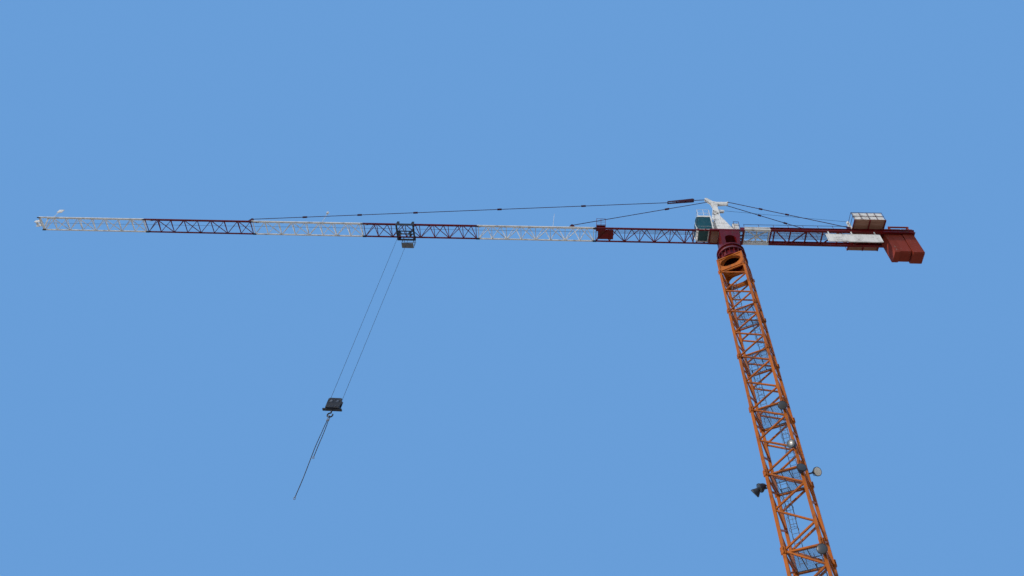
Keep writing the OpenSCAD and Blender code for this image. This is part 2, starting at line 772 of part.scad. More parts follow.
module counter_jib() {
    x0 = white_end + seam;
    color(red_col) at_jib() {
        beam_pair(x0, cjib_len);
        for (i = [0 : 5])
            bar([brace_nodes[i], brace_side(i) * cjib_w / 2, brace_z], [brace_nodes[i + 1], brace_side(i + 1) * cjib_w / 2, brace_z], 8);
        for (x = concat([x0 + 8], brace_nodes)) cross_member(x);
        cross_member(ballast_x - 20);
        block([cjib_len - 6, -cjib_w / 2, beam_z], [cjib_len, cjib_w / 2, beam_top - 8]);
        for (x = [platform_x0 + 4, (platform_x0 + ballast_x) / 2, ballast_x - 6])
            block([x - 4, -158, beam_top - 1], [x + 4, 134, beam_top + joist_h]);
    }
}

walk_y0 = -50;
walk_y1 = 30;
jib_walk_y0 = -40;
jib_walk_y1 = -14;

// Grating decks: on the slewing frame, along the counter-jib and inside the jib
module walkway_gratings() {
    color(steel_col) at_jib() {
        block([-4, -foot_y + 20, deck_z + seam], [frame_back - 4, foot_y - 20, deck_z + seam + deck_t]);
        block([cjib_root + 4, walk_y0, grate_z], [platform_x0 - 2, walk_y1, grate_z + deck_t]);
        block([-winch_r0 + 2, jib_walk_y0, floor_seat], [-jib_root - chord_w - 6, jib_walk_y1, floor_seat + 2]);
    }
}

rail_d = 3.6;
planks_z = beam_top + joist_h + seam;
planks_t = 4;
platform_y0 = -160;
platform_y1 = 136;

module handrails() {
    near_y = -frame_y - 2;
    walk_z = grate_z + deck_t;
    planks_top = planks_z + planks_t;
    color(red_col) at_jib() {
        rail_x(foot_back + 6, frame_back - 32, near_y, deck_z, 130, 2, rail_d);
        for (y = [walk_y0 + 2, walk_y1 - 2]) rail_x(cjib_root + 12, platform_x0 - 12, y, walk_z, rail_h, 8, rail_d);
        rail_x(platform_x0 + 4, ballast_x - 6, platform_y0 + 3, planks_top, 116, 5, rail_d);
        rail_x(platform_x0 + 4, ballast_x - 6, platform_y1 - 3, planks_top, 116, 5, rail_d);
        rail_y(platform_x0 + 4, platform_y0 + 3, -58, planks_top, 116, rail_d);
        rail_y(platform_x0 + 4, 58, platform_y1 - 3, planks_top, 116, rail_d);
    }
}

anchor_x = 980;
anchor_h = 44;

module counter_ties() {
    color(red_col) at_jib() {
        for (s = [-1, 1]) {
            to = [anchor_x, s * cjib_w / 2, beam_top + anchor_h - 6];
            pin = back_pin + [0, s * 18, 0];
            from = pin + along(pin, to) * (pin_d / 2 + seam);
            rod(from, to, tie_d, 8);
            for (c = [330, 530]) {
                p = from + (to - from) * (c - from.x) / (anchor_x - from.x);
                bar(p, p + along(from, to) * 30, tie_d + 5);
            }
            block([anchor_x - 14, s * cjib_w / 2 - 4, beam_top + seam], [anchor_x + 14, s * cjib_w / 2 + 4, beam_top + anchor_h]);
        }
    }
}

board_x0 = 770;
board_x1 = 1190;
board_top = -40;
board_bottom = -155;

module name_board() {
    y = -cjib_w / 2 - beam_w / 2;
    color(white_col) at_jib() {
        block([board_x0, y, board_bottom], [board_x1, y + 3, board_top]);
        for (z = [board_bottom + 4, board_top - 10]) block([board_x0 + 6, y + 3, z], [board_x1 - 6, y + 8, z + 6]);
        for (x = [board_x0 + 30, (board_x0 + board_x1) / 2, board_x1 - 30])
            block([x - 4, y + 3, board_bottom + 4], [x + 4, y + 8, beam_z - seam]);
    }
}

// Planked floors: under the tower head's front, and around the winch
module plank_floors() {
    color(brown_col) at_jib() {
        block([-frame_front + 14, -frame_y + frame_w / 2 + seam, -chord_drop + 2],
              [-box_front - seam, frame_y - frame_w / 2 - seam, -chord_drop + 6]);
        block([platform_x0, platform_y0, planks_z], [ballast_x - 2, platform_y1, planks_z + planks_t]);
    }
}

// The hoist winch on its base plate, and the sheet on the platform's near rail
module hoist_winch() {
    z = planks_z + planks_t + seam;
    color(white_col) at_jib() {
        block([platform_x0 + 20, -50, z], [ballast_x - 20, 50, z + 5]);
        for (y = [-40, 34]) side_plate(y, y + 6)
            polygon([[hoist_drum.x - 34, z], [hoist_drum.x + 34, z], [hoist_drum.x + 16, hoist_drum.z + 16],
                     [hoist_drum.x - 16, hoist_drum.z + 16]]);
        translate(hoist_drum) rotate([90, 0, 0]) {
            cylinder(r = hoist_drum_r, h = 76, center = true, $fn = 48);
            for (s = [-1, 1]) translate([0, 0, s * 31]) cylinder(r = hoist_drum_r + 8, h = 4, center = true, $fn = 48);
        }
        for (y = [-12, 8]) side_plate(y, y + 4)
            polygon([[guide.x - 16, z + 5], [guide.x + 10, z + 5], [guide.x + 6, guide.z + 6], [guide.x - 6, guide.z + 6]]);
        for (h = [60, 130]) block([guide.x - 10, -12, z + h], [guide.x + 5, 12, z + h + 6]);
        rod(guide - [0, 12, 0], guide + [0, 12, 0], 6);
        translate(guide) rotate([90, 0, 0]) cylinder(r = guide_r, h = 8, center = true, $fn = 40);
        block([hoist_drum.x + 40, -34, z], [hoist_drum.x + 92, 6, z + 62]);
        rod([hoist_drum.x + 92, -14, z + 34], [ballast_x - 26, -14, z + 34], 40);
        rod([hoist_drum.x + 20, -14, z + 34], [hoist_drum.x + 50, -14, z + 34], 16);
        block([hoist_drum.x + 50, 14, z], [ballast_x - 30, 44, z + 84]);
        block([platform_x0 + 8, platform_y0 + 6, z], [ballast_x - 10, platform_y0 + 7.5, z + 112]);
    }
}

ear_y = 72;
ear_h = 14;
frame_x0 = 1312;

module ballast() {
    color(brown_col) at_jib() {
        for (i = [0 : 4]) {
            x = ballast_x + i * (slab_t + slab_gap) + (i > 2 ? 6 : 0);
            y = slab_ys[i];
            z = -ballast_drop + slab_drops[i];
            translate([x, 0, 0]) rotate([90, 0, 90]) linear_extrude(slab_t) polygon([
                [-y + 8, z], [y - 8, z], [y, z + 8], [y, beam_top + seam], [ear_y, beam_top + seam],
                [ear_y, beam_top + ear_h], [-ear_y, beam_top + ear_h], [-ear_y, beam_top + seam],
                [-y, beam_top + seam], [-y, z + 8]
            ]);
        }
        for (s = [-1, 1]) {
            block([frame_x0, s * 45 - 5, beam_top + 84], [cjib_len - 8, s * 45 + 5, beam_top + 94]);
            for (x = [frame_x0 + 4, cjib_len - 22])
                block([x, s * 45 - 4, beam_top + ear_h + seam], [x + 8, s * 45 + 4, beam_top + 90]);
        }
        for (x = [frame_x0 + 3, cjib_len - 23]) block([x, -45, beam_top + 84], [x + 10, 45, beam_top + 92]);
    }
}

// Trolley

plate_y = jib_w / 2 + chord_w / 2 + 5;
plate_t = 4;
wheel_r = 10;
wheel_z = chord_w / 2 + seam + wheel_r;
wheel_x = trolley_l / 2 - 17;
falls_top_gap = 98;
bracket_low = -66;

module at_trolley() translate([-trolley_r, 0, jib_z]) children();

module trolley_frame() {
    color(dark_col) at_trolley() {
        for (s = [-1, 1]) {
            y = s * (plate_y + plate_t / 2);
            side_plate(y - plate_t / 2, y + plate_t / 2) polygon([
                [-trolley_l / 2, -14], [-trolley_l / 2, -30], [-trolley_l / 2 + 8, -36], [trolley_l / 2 - 8, -36],
                [trolley_l / 2, -30], [trolley_l / 2, -14], [wheel_x + 12, -10], [wheel_x + 10, wheel_z + 9],
                [wheel_x - 10, wheel_z + 9], [wheel_x - 12, -12], [-wheel_x + 12, -12], [-wheel_x + 10, wheel_z + 9],
                [-wheel_x - 10, wheel_z + 9], [-wheel_x - 12, -10]
            ]);
            for (x = [-wheel_x, wheel_x]) rod([x, y, wheel_z], [x, s * (jib_w / 2 + 7 + seam), wheel_z], 7, 24);
        }
        for (x = [-trolley_l / 2 + 8, trolley_l / 2 - 8])
            block([x - 6, -plate_y - 2, -36], [x + 6, plate_y + 2, -22]);
        for (y = [-14, 14]) block([-trolley_l / 2 + 8, y - 3, -36], [trolley_l / 2 - 8, y + 3, -26]);
        for (x = [-1, 1]) translate([x * (falls_top_gap / 2), 0, 0]) {
            for (y = [-14, 14]) side_plate(y - 3, y + 3)
                polygon([[-12, -36], [12, -36], [8, bracket_low], [-8, bracket_low]]);
            rod([-x * 13, -14, -50], [-x * 13, 14, -50], 5);
        }
    }
}

top_sheave_r = 12;

// The four running wheels, and the two sheaves that the falls hang from
module trolley_wheels() {
    color(steel_col) at_trolley() {
        for (s = [-1, 1], x = [-1, 1]) translate([x * wheel_x, s * (jib_w / 2 + 4.2), wheel_z]) rotate([90, 0, 0])
            cylinder(r = wheel_r, h = 5.6, center = true, $fn = 40);
        for (x = [-1, 1]) translate([x * (falls_top_gap / 2 - 13), 0, -50]) rotate([90, 0, 0]) difference() {
            cylinder(r = top_sheave_r - 0.5, h = 8, center = true, $fn = 40);
            cylinder(r = 2.5 + seam, h = 10, center = true, $fn = 32);
        }
    }
}

basket_x0 = -36;
basket_x1 = 67;
basket_w = 52;
basket_floor = -74;
basket_top = 22;

module trolley_basket() {
    y0 = plate_y + plate_t + seam;
    y1 = y0 + basket_w;
    color(steel_col) at_trolley() {
        block([basket_x0, y0 + 4, basket_floor], [basket_x1, y1, basket_floor + 3]);
        for (x = [basket_x0, basket_x1 - 3], y = [y0, y1 - 3]) block([x, y, basket_floor], [x + 3, y + 3, basket_top]);
        for (z = [basket_floor, -28, basket_top - 3]) {
            for (y = [y0, y1 - 3]) block([basket_x0, y, z], [basket_x1, y + 3, z + 3]);
            for (x = [basket_x0, basket_x1 - 3]) block([x, y0, z], [x + 3, y1, z + 3]);
        }
        block([basket_x0, y1 - 3, basket_floor], [basket_x1, y1, basket_floor + 14]);
    }
}

falls_top = -50;
block_top = -hook_drop;
sheave_drop = 28;

module hoist_falls() {
    color(dark_col) at_trolley() {
        for (x = [-1, 1])
            rod([x * fall_gap / 2, 0, block_top - sheave_drop], [x * falls_top_gap / 2, 0, falls_top], rope_d, 8);
    }
}

block_h = 86;
block_w = 90;
cheek_t = 4;
bar_h = 8;
bar_l = 124;
head_h = 12;
sheave_r = 17;
pin_r = 4;
sheave_x = fall_gap / 2 - rope_d / 2 - seam - sheave_r;
hook_z = block_top - block_h - bar_h;
shank_r = 5;

module hook_block() {
    color(dark_col) at_trolley() translate([0, 0, block_top]) difference() {
        union() {
            for (s = [-1, 1]) side_plate(s * 14 - cheek_t / 2, s * 14 + cheek_t / 2)
                polygon([[-block_w / 2 + 8, 0], [block_w / 2 - 8, 0], [block_w / 2, -8], [block_w / 2, -block_h],
                         [-block_w / 2, -block_h], [-block_w / 2, -8]]);
            block([-block_w / 2, -14, -block_h], [block_w / 2, 14, -block_h + head_h]);
            block([-bar_l / 2, -9, -block_h - bar_h], [bar_l / 2, 9, -block_h]);
            for (x = [-1, 1]) rod([x * sheave_x, -15, -sheave_drop], [x * sheave_x, 15, -sheave_drop], 2 * pin_r);
        }
        translate([0, 0, -block_h - bar_h - 1]) cylinder(r = shank_r + 0.1, h = head_h + bar_h + 2, $fn = 32);
    }
}

module block_sheaves() {
    color(steel_col) at_trolley() translate([0, 0, block_top]) {
        for (x = [-1, 1]) translate([x * sheave_x, 0, -sheave_drop]) rotate([90, 0, 0]) difference() {
            cylinder(r = sheave_r, h = 10, center = true, $fn = 48);
            cylinder(r = pin_r + seam, h = 12, center = true, $fn = 32);
        }
    }
}

bowl_r = 17;
bowl_z = -44;
hook_t = 4.5;
nut_r = 9;
nut_h = 9;

module hook() {
    color(dark_col) at_trolley() translate([0, 0, hook_z]) {
        translate([0, 0, -bowl_r - 10]) cylinder(r = shank_r, h = bowl_r + 10 + bar_h + head_h + nut_h, $fn = 32);
        translate([0, 0, bar_h + head_h + seam]) cylinder(r = nut_r, h = nut_h, $fn = 32);
        translate([0, 0, bowl_z]) rotate([90, -10, 0]) rotate_extrude(angle = 290, start = 90, $fn = 48)
            translate([bowl_r, 0]) circle(r = hook_t, $fn = 24);
    }
}

ring_c = 14;
ring_t = 2.5;
leg_d = 5;
leg_sides = 8;
ring_at = bowl_z - bowl_r + hook_t + seam + ring_t - ring_c;
leg_top = -94;

// The legs' routes from the ring, along x and down from the hook block's underside
long_route = [
    [-4, -94], [-5, -130], [-6, -170], [-7, -210], [-8, -250], [-9, -290], [-9, -330], [-8, -370],
    [-7, -410], [-6, -450], [-5, -490], [-4, -530], [-4, -570], [-4, -610], [-5, -650], [-5, -684]
];
short_route = [
    [4, -94], [5, -115], [6, -136], [6, -157], [7, -178], [7, -199], [7, -220], [7, -241],
    [6, -262], [6, -283], [6, -304], [6, -325], [6, -346], [6, -367], [6, -384]
];

// The route's points with two more between each pair
function finer(route) = [
    for (i = [0 : len(route) - 2], k = [0 : 2]) route[i] + (route[i + 1] - route[i]) * k / 3,
    route[len(route) - 1]
];

// A sling leg: level rings of leg_sides points round the route, closed at both ends
module leg(route) {
    at = finer(route);
    n = leg_sides;
    rings = len(at);
    points = [for (p = at, k = [0 : n - 1])
        [p.x + leg_d / 2 * cos(360 * k / n), leg_d / 2 * sin(360 * k / n), p.y]];
    skin = [for (i = [0 : rings - 2], k = [0 : n - 1])
        [i * n + k, i * n + (k + 1) % n, (i + 1) * n + (k + 1) % n, (i + 1) * n + k]];
    ends = [[for (k = [0 : n - 1]) n - 1 - k], [for (k = [0 : n - 1]) (rings - 1) * n + k]];
    color(steel_col) at_trolley() translate([0, 0, hook_z]) polyhedron(points, concat(skin, ends));
}

module sling_long() leg(long_route);
module sling_short() leg(short_route);

// The sling's ring with the shackle that the legs hang from, and a hook at each leg's end
module sling_fittings() {
    color(steel_col) at_trolley() translate([0, 0, hook_z]) {
        translate([0, 0, ring_at]) rotate([0, 90, 0]) rotate_extrude($fn = 48)
            translate([ring_c, 0]) circle(r = ring_t, $fn = 16);
        block([-8, -3.5, leg_top], [8, 3.5, ring_at - ring_c + 1]);
        for (route = [long_route, short_route]) {
            low = route[len(route) - 1];
            translate([low.x, 0, low.y]) {
                block([-3, -3, -8], [3, 3, 0]);
                translate([0, 0, -8 - 4.5]) rotate([90, 0, 0]) rotate_extrude(angle = 270, start = 90, $fn = 32)
                    translate([6.5, 0]) circle(r = 1.8, $fn = 16);
            }
        }
    }
}

base_cross();
on_mast() mast_side();  // mast_side_front
on_mast() rotate(90) mast_side();  // mast_side_right
on_mast() rotate(180) mast_side();  // mast_side_back
on_mast() rotate(270) mast_side();  // mast_side_left
slewing_support();
ring_lower();
mast_ladder();
rest_platforms();
floodlights();
ring_upper();
turntable();
cab_shell();
cab_glass();
tower_head();
outer_tie();
inner_tie();
jib_section_1();
jib_section_2();
jib_section_3();
jib_section_4();
jib_section_5();
jib_section_6();
jib_tip();
trolley_winch();
running_ropes();
jib_lamps();
counter_jib_root();
counter_jib();
walkway_gratings();
handrails();
counter_ties();
name_board();
plank_floors();
hoist_winch();
ballast();
trolley_frame();
trolley_wheels();
trolley_basket();
hoist_falls();
hook_block();
block_sheaves();
hook();
sling_fittings();
sling_long();
sling_short();
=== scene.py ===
"""Looks of a tower crane, a 1:10 scale model, laid out as an add-on."""
import json
import math
import random

import bmesh
import bpy
from mathutils import Matrix, Vector


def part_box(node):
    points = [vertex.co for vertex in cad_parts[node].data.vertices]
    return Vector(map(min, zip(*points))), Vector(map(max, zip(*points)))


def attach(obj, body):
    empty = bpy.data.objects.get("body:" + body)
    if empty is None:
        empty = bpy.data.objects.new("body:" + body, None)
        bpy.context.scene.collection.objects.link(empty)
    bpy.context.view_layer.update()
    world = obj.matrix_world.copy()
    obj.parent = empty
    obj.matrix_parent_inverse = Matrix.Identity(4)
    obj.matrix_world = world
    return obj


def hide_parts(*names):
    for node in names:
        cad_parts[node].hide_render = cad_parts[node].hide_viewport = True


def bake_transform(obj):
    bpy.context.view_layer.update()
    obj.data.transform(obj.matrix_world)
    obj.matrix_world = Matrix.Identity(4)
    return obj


bl_info = {
    "name": "Tower crane",
    "version": (1, 0, 0),
    "blender": (4, 5, 0),
    "location": "View3D > Sidebar > Tower crane",
    "description": "Finishes, fittings and stage of a saddle-jib tower crane",
    "category": "Object",
}

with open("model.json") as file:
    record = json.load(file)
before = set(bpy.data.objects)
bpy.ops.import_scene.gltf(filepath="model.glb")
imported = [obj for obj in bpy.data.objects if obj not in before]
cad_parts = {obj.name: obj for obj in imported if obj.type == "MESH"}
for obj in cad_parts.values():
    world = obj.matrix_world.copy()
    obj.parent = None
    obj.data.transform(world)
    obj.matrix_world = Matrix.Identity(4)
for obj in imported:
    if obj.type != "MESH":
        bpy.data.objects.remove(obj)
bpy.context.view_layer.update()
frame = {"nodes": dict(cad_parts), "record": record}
MM = 0.001
SEAM = 0.3 * MM


# Places and sizes that several pieces share

CHORD_HALF = 5 * MM
JIB_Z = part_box("jib_section_2")[0].z + CHORD_HALF
SECTIONS = [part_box(f"jib_section_{i}") for i in range(1, 7)]
MAST_BASE = 120 * MM
MAST_SECTION = 500 * MM
MAST_SECTIONS = 10
POST_PITCH = 93 * MM
STRUT_DROP = 12 * MM
LADDER_OFFSET = 40 * MM
ALL_ROUND = math.tau
QUARTER = math.pi / 2
UPRIGHT = (QUARTER, 0, 0)
UPSIDE_DOWN = Matrix.Rotation(math.pi, 4, "X")


# Shader maths: a socket that takes part in Python expressions

class Sock:
    """A node socket, with the operators that add Math nodes."""

    def __init__(self, tree, link):
        self.tree = tree
        self.link = link

    def math(self, operation, *others):
        """The Math node of that operation on this value and the others."""
        return self.tree.node("ShaderNodeMath", {"operation": operation}, dict(enumerate((self, *others))))

    def __add__(self, other):
        return self.math("ADD", other)

    __radd__ = __add__

    def __mul__(self, other):
        return self.math("MULTIPLY", other)

    __rmul__ = __mul__

    def __sub__(self, other):
        return self.math("SUBTRACT", other)

    def __rsub__(self, other):
        return self.tree.node("ShaderNodeMath", {"operation": "SUBTRACT"}, {0: other, 1: self})


class Tree:
    """A material's node tree, with one method that adds any node."""

    def __init__(self, name):
        self.material = bpy.data.materials.new(name + "_finish")
        self.material.use_nodes = True
        self.tree = self.material.node_tree
        self.tree.nodes.clear()

    def put(self, socket, value):
        """Links a socket, or sets its number or colour."""
        if isinstance(value, Sock):
            self.tree.links.new(value.link, socket)
        elif isinstance(value, tuple) and len(value) == 3 and len(socket.default_value) == 4:
            socket.default_value = (*value, 1.0)
        else:
            socket.default_value = value

    def node(self, kind, settings, sockets, out=0):
        """Adds a node: its settings first, then its sockets' values or links."""
        made = self.tree.nodes.new(kind)
        for key, value in settings.items():
            setattr(made, key, value)
        for key, value in sockets.items():
            self.put(made.inputs[key], value)
        return Sock(self, made.outputs[out])

    def mix(self, factor, a, b):
        """A colour mix of a and b."""
        return self.node("ShaderNodeMix", {"data_type": "RGBA"}, {0: factor, 6: a, 7: b}, 2)

    def place(self, stretch=(1.0, 1.0, 1.0), turn=(0.0, 0.0, 0.0)):
        """Object coordinates, turned and stretched along the axes."""
        here = self.node("ShaderNodeTexCoord", {}, {}, "Object")
        return self.node("ShaderNodeMapping", {}, {"Vector": here, "Scale": stretch, "Rotation": turn})

    def noise(self, scale, detail=4.0, rough=0.55, stretch=(1.0, 1.0, 1.0)):
        """Fractal noise at a scale in 1/m."""
        return self.node("ShaderNodeTexNoise", {}, {"Vector": self.place(stretch), "Scale": scale,
                                                    "Detail": detail, "Roughness": rough})

    def step(self, value, low, high):
        """0 below low, 1 over high, and a slope between."""
        return self.node("ShaderNodeMapRange", {"clamp": True}, {"Value": value, "From Min": low,
                                                                 "From Max": high})

    def bump(self, height, strength, distance):
        """A bump normal."""
        return self.node("ShaderNodeBump", {}, {"Height": height, "Strength": strength, "Distance": distance})

    def finish(self, **sockets):
        """The Principled surface and the output."""
        names = {"color": "Base Color", "rough": "Roughness", "metal": "Metallic", "normal": "Normal",
                 "alpha": "Alpha", "coat": "Coat Weight", "ior": "IOR"}
        shader = self.node("ShaderNodeBsdfPrincipled", {}, {names[k]: v for k, v in sockets.items()})
        output = self.tree.nodes.new("ShaderNodeOutputMaterial")
        self.put(output.inputs["Surface"], shader)
        return self.material


# Finishes

RUST = (0.13, 0.045, 0.016)
GRIME = (0.045, 0.04, 0.036)


def lighter(colour, share=0.35):
    """The colour, faded towards white by that share."""
    return tuple(c + (0.8 - c) * share for c in colour)


def hue_brightened(colour, gain):
    """The colour, brightened within its own hue."""
    return tuple(min(0.8, c * gain) for c in colour)


def darker(colour, share=0.5):
    """The colour, dulled towards black by that share."""
    return tuple(c * (1.0 - share) for c in colour)


def site_paint(name, colour, undercoat, dirt, rough, run):
    """Paint that years of sites have worn: grime runs, chips, rust spots, pale patches (partly fading, partly
    painted highlight) and darker patches (partly painted shade).
    """
    t = Tree(name)
    panel = t.noise(3.1, 2.0, 0.5)
    patch = t.noise(17.0, 5.0, 0.6)
    streak = t.noise(52.0, 6.0, 0.62, run)
    speck = t.noise(330.0, 3.0, 0.6)
    # Pale patches: partly faded paint, partly painted highlight; darker patches: partly painted shade
    pale_patches = t.mix(t.step(panel + patch * 0.6, 0.62, 1.0) * 0.8, colour, hue_brightened(colour, 1.6))
    deep = t.mix(t.step(patch, 0.50, 0.66) * 0.7, pale_patches, darker(colour, 0.5))
    grime = t.step(streak, 0.47, 0.72) * dirt
    grimy = t.mix(grime, deep, GRIME)
    rust = t.step(patch * 0.55 + speck * 0.45, 0.585, 0.63)
    rusty = t.mix(rust * 0.75, grimy, RUST)
    chips = t.step(speck * 0.65 + streak * 0.35, 0.625, 0.66)
    worn = t.mix(chips, rusty, undercoat)
    skin = speck * 0.25 + patch * 0.3 - chips * 0.9 - rust * 0.4
    return t.finish(color=worn, rough=rough + 0.22 * grime + 0.25 * rust, ior=1.3,
                    normal=t.bump(skin, 0.35, 0.0006))


def galvanised(name, colour):
    """Zinc on steel: crystals of a few shades, white bloom and some rust."""
    t = Tree(name)
    crystal = t.node("ShaderNodeTexVoronoi", {}, {"Vector": t.place(), "Scale": 420.0}, "Color")
    shade = t.node("ShaderNodeSeparateColor", {}, {"Color": crystal})
    bloom = t.step(t.noise(24.0, 6.0), 0.48, 0.7)
    spot = t.step(t.noise(60.0, 6.0, 0.7), 0.6, 0.68)
    zinc = t.mix(shade * 0.6, colour, lighter(colour, 0.18))
    dull = t.mix(bloom * 0.5, zinc, lighter(colour, 0.3))
    done = t.mix(spot * 0.7, dull, RUST)
    return t.finish(color=done, rough=0.42 + 0.3 * bloom, metal=0.55 - 0.4 * spot,
                    normal=t.bump(shade * 0.4 + bloom, 0.2, 0.0004))


def oily_steel(name, colour):
    """Blackened, greasy steel with scuffed patches."""
    t = Tree(name)
    scuff = t.step(t.noise(70.0, 6.0, 0.65), 0.54, 0.68)
    film = t.noise(26.0, 4.0)
    done = t.mix(scuff * 0.55, t.mix(film, colour, lighter(colour, 0.05)), (0.11, 0.085, 0.07))
    return t.finish(color=done, rough=0.46 + 0.25 * scuff + 0.1 * film, metal=0.3 + 0.3 * scuff,
                    normal=t.bump(scuff + film * 0.5, 0.3, 0.0005))


def wire_rope(name, colour, pitch):
    """Laid wire rope: strands that wind round, darker in the grooves between them, with patches of dark
    grease.
    """
    t = Tree(name)
    bands = {"wave_type": "BANDS", "bands_direction": "Z", "wave_profile": "SIN"}
    along = {"Vector": t.place((1.0, 1.0, 1.0), (0.0, 0.6, 0.6)), "Scale": 0.16 / pitch, "Distortion": 0.0}
    strands = t.node("ShaderNodeTexWave", bands, along, "Fac")
    crown = t.step(strands, 0.2, 0.8)
    grease = t.step(t.noise(40.0, 5.0), 0.42, 0.66)
    bare = t.mix(crown, darker(colour, 0.3), colour)
    return t.finish(color=t.mix(grease * 0.6, bare, (0.02, 0.018, 0.016)), rough=0.38 + 0.25 * grease,
                    metal=0.6 - 0.3 * grease, normal=t.bump(crown, 0.6, 0.0005))


def tinted_glass(name, colour):
    """Tinted cab glass with a film of dust that thickens in patches and runs."""
    t = Tree(name)
    dust = t.step(t.noise(38.0, 6.0, 0.6, (1.0, 1.0, 0.35)), 0.48, 0.78)
    sheet = t.noise(9.0, 2.0)
    done = t.mix(dust * 0.14, t.mix(sheet, darker(colour, 0.45), lighter(colour, 0.02)), (0.30, 0.33, 0.32))
    return t.finish(color=done, rough=0.04 + 0.3 * dust, alpha=0.95 + 0.05 * dust, ior=1.4)


def weathered_boards(name, colour):
    """Site boards: grain along X, a shade for each board, grey weathering and damp stains."""
    t = Tree(name)
    board = t.noise(1.0, 0.0, 0.5, (0.3, 43.0, 1.0))
    grain = t.noise(22.0, 8.0, 0.65, (1.0, 22.0, 22.0))
    damp = t.step(t.noise(11.0, 5.0), 0.5, 0.72)
    wood = t.mix(board, darker(colour, 0.3), lighter(colour, 0.16))
    veined = t.mix(t.step(grain, 0.42, 0.7) * 0.7, wood, darker(colour, 0.7))
    done = t.mix(damp * 0.55, veined, darker(colour, 0.62))
    return t.finish(color=done, rough=0.78 - 0.15 * damp, normal=t.bump(grain, 0.5, 0.0007))


def slab_coating(name, colour):
    """The counterweight's slabs: rolled-on coating over cast faces, with runs and knocked patches."""
    t = Tree(name)
    cast = t.noise(130.0, 5.0, 0.6)
    runs = t.step(t.noise(16.0, 6.0, 0.6, (1.0, 1.0, 0.18)), 0.45, 0.72)
    pale_patches = t.noise(4.5, 3.0)
    knocks = t.step(t.noise(75.0, 4.0, 0.7), 0.645, 0.68)
    coat = t.mix(pale_patches * 0.5, colour, hue_brightened(colour, 1.4))
    run_down = t.mix(runs * 0.5, coat, darker(colour, 0.6))
    done = t.mix(knocks * 0.85, run_down, (0.27, 0.25, 0.22))
    return t.finish(color=done, rough=0.62 + 0.2 * runs, ior=1.3,
                    normal=t.bump(cast * 0.5 - knocks, 0.4, 0.0008))


def rubber(name, colour):
    """Black rubber seals with a chalky bloom."""
    t = Tree(name)
    bloom = t.step(t.noise(90.0, 5.0), 0.45, 0.7)
    return t.finish(color=t.mix(bloom * 0.5, colour, lighter(colour, 0.12)), rough=0.6 + 0.2 * bloom,
                    normal=t.bump(bloom, 0.2, 0.0003))


def lamp_lens(name, colour):
    """A floodlight's ribbed front glass."""
    t = Tree(name)
    ribs = t.node("ShaderNodeTexWave", {"wave_type": "BANDS", "bands_direction": "Z"},
                  {"Vector": t.place(), "Scale": 60.0}, "Fac")
    dust = t.noise(60.0, 4.0)
    return t.finish(color=t.mix(dust * 0.5, colour, darker(colour, 0.25)), rough=0.22 + 0.2 * dust, coat=0.3,
                    normal=t.bump(ribs, 0.3, 0.0004))


def finish(name):
    """The material of that finish, made at its first use, with a name that no slot has."""
    if name + "_finish" in bpy.data.materials:
        return bpy.data.materials[name + "_finish"]
    colours = bpy.context.scene.crane_finishes
    red, steel, rope = tuple(colours.red), tuple(colours.steel), tuple(colours.rope)
    red_undercoat = (0.16, 0.11, 0.10)
    downward = (1.0, 1.0, 0.14)
    makers = {
        "mast_paint": (site_paint, tuple(colours.mast), (0.15, 0.10, 0.07), 0.42, 0.42, downward),
        "red_paint": (site_paint, red, red_undercoat, 0.35, 0.36, downward),
        # A darker copy of the red paint for handrails and ties: painted shade
        "shaded_red_paint": (site_paint, darker(red, 0.6), red_undercoat, 0.35, 0.4, downward),
        "white_paint": (site_paint, tuple(colours.white), (0.24, 0.17, 0.12), 0.18, 0.45, downward),
        "galvanised": (galvanised, steel),
        # A darker copy of the zinc for platforms, ladders, cages, the trolley's basket and the block's
        # fittings: painted shade
        "shaded_zinc": (galvanised, darker(steel, 0.45)),
        "dark_steel": (oily_steel, tuple(colours.dark)),
        "hoist_rope": (wire_rope, rope, 0.0024),
        "sling_rope": (wire_rope, rope, 0.005),
        "cab_glass": (tinted_glass, tuple(colours.glass)),
        "planks": (weathered_boards, tuple(colours.planks)),
        "ballast_paint": (slab_coating, tuple(colours.ballast)),
        "seal_rubber": (rubber, (0.018, 0.018, 0.02)),
        "lamp_lens": (lamp_lens, (0.055, 0.06, 0.065)),
        # A pale lens for one floodlight: a painted glint of the sun on its glass
        "glint_lens": (lamp_lens, (0.80, 0.76, 0.68)),
    }
    maker, *settings = makers[name]
    return maker(name, *settings)


# Modelling helpers

def alone(piece):
    """Selects one object only, and makes it active."""
    bpy.ops.object.select_all(action="DESELECT")
    piece.select_set(True)
    bpy.context.view_layer.objects.active = piece


def edit(piece, operator, **settings):
    """Runs one edit-mode operator on the whole mesh of a piece."""
    alone(piece)
    bpy.ops.object.mode_set(mode="EDIT")
    bpy.ops.mesh.select_all(action="SELECT")
    operator(**settings)
    bpy.ops.object.mode_set(mode="OBJECT")
    return piece


def trim(piece, place, normal):
    """Cuts off what lies past a plane, on the side its normal points to, and closes the cut."""
    return edit(piece, bpy.ops.mesh.bisect, plane_co=place, plane_no=normal, clear_outer=True, use_fill=True)


def settle(piece):
    """Puts the object's place and size into its mesh."""
    alone(piece)
    bpy.ops.object.transform_apply(location=True, rotation=True, scale=True)
    return piece


def block(low, high, bevel=0.6 * MM):
    """A block between two corners, with its edges bevelled."""
    low, high = Vector(low), Vector(high)
    bpy.ops.object.select_all(action="DESELECT")
    bpy.ops.mesh.primitive_cube_add(size=1.0, location=(low + high) / 2)
    piece = bpy.context.object
    piece.scale = high - low
    settle(piece)
    return edit(piece, bpy.ops.mesh.bevel, offset=bevel, segments=1)


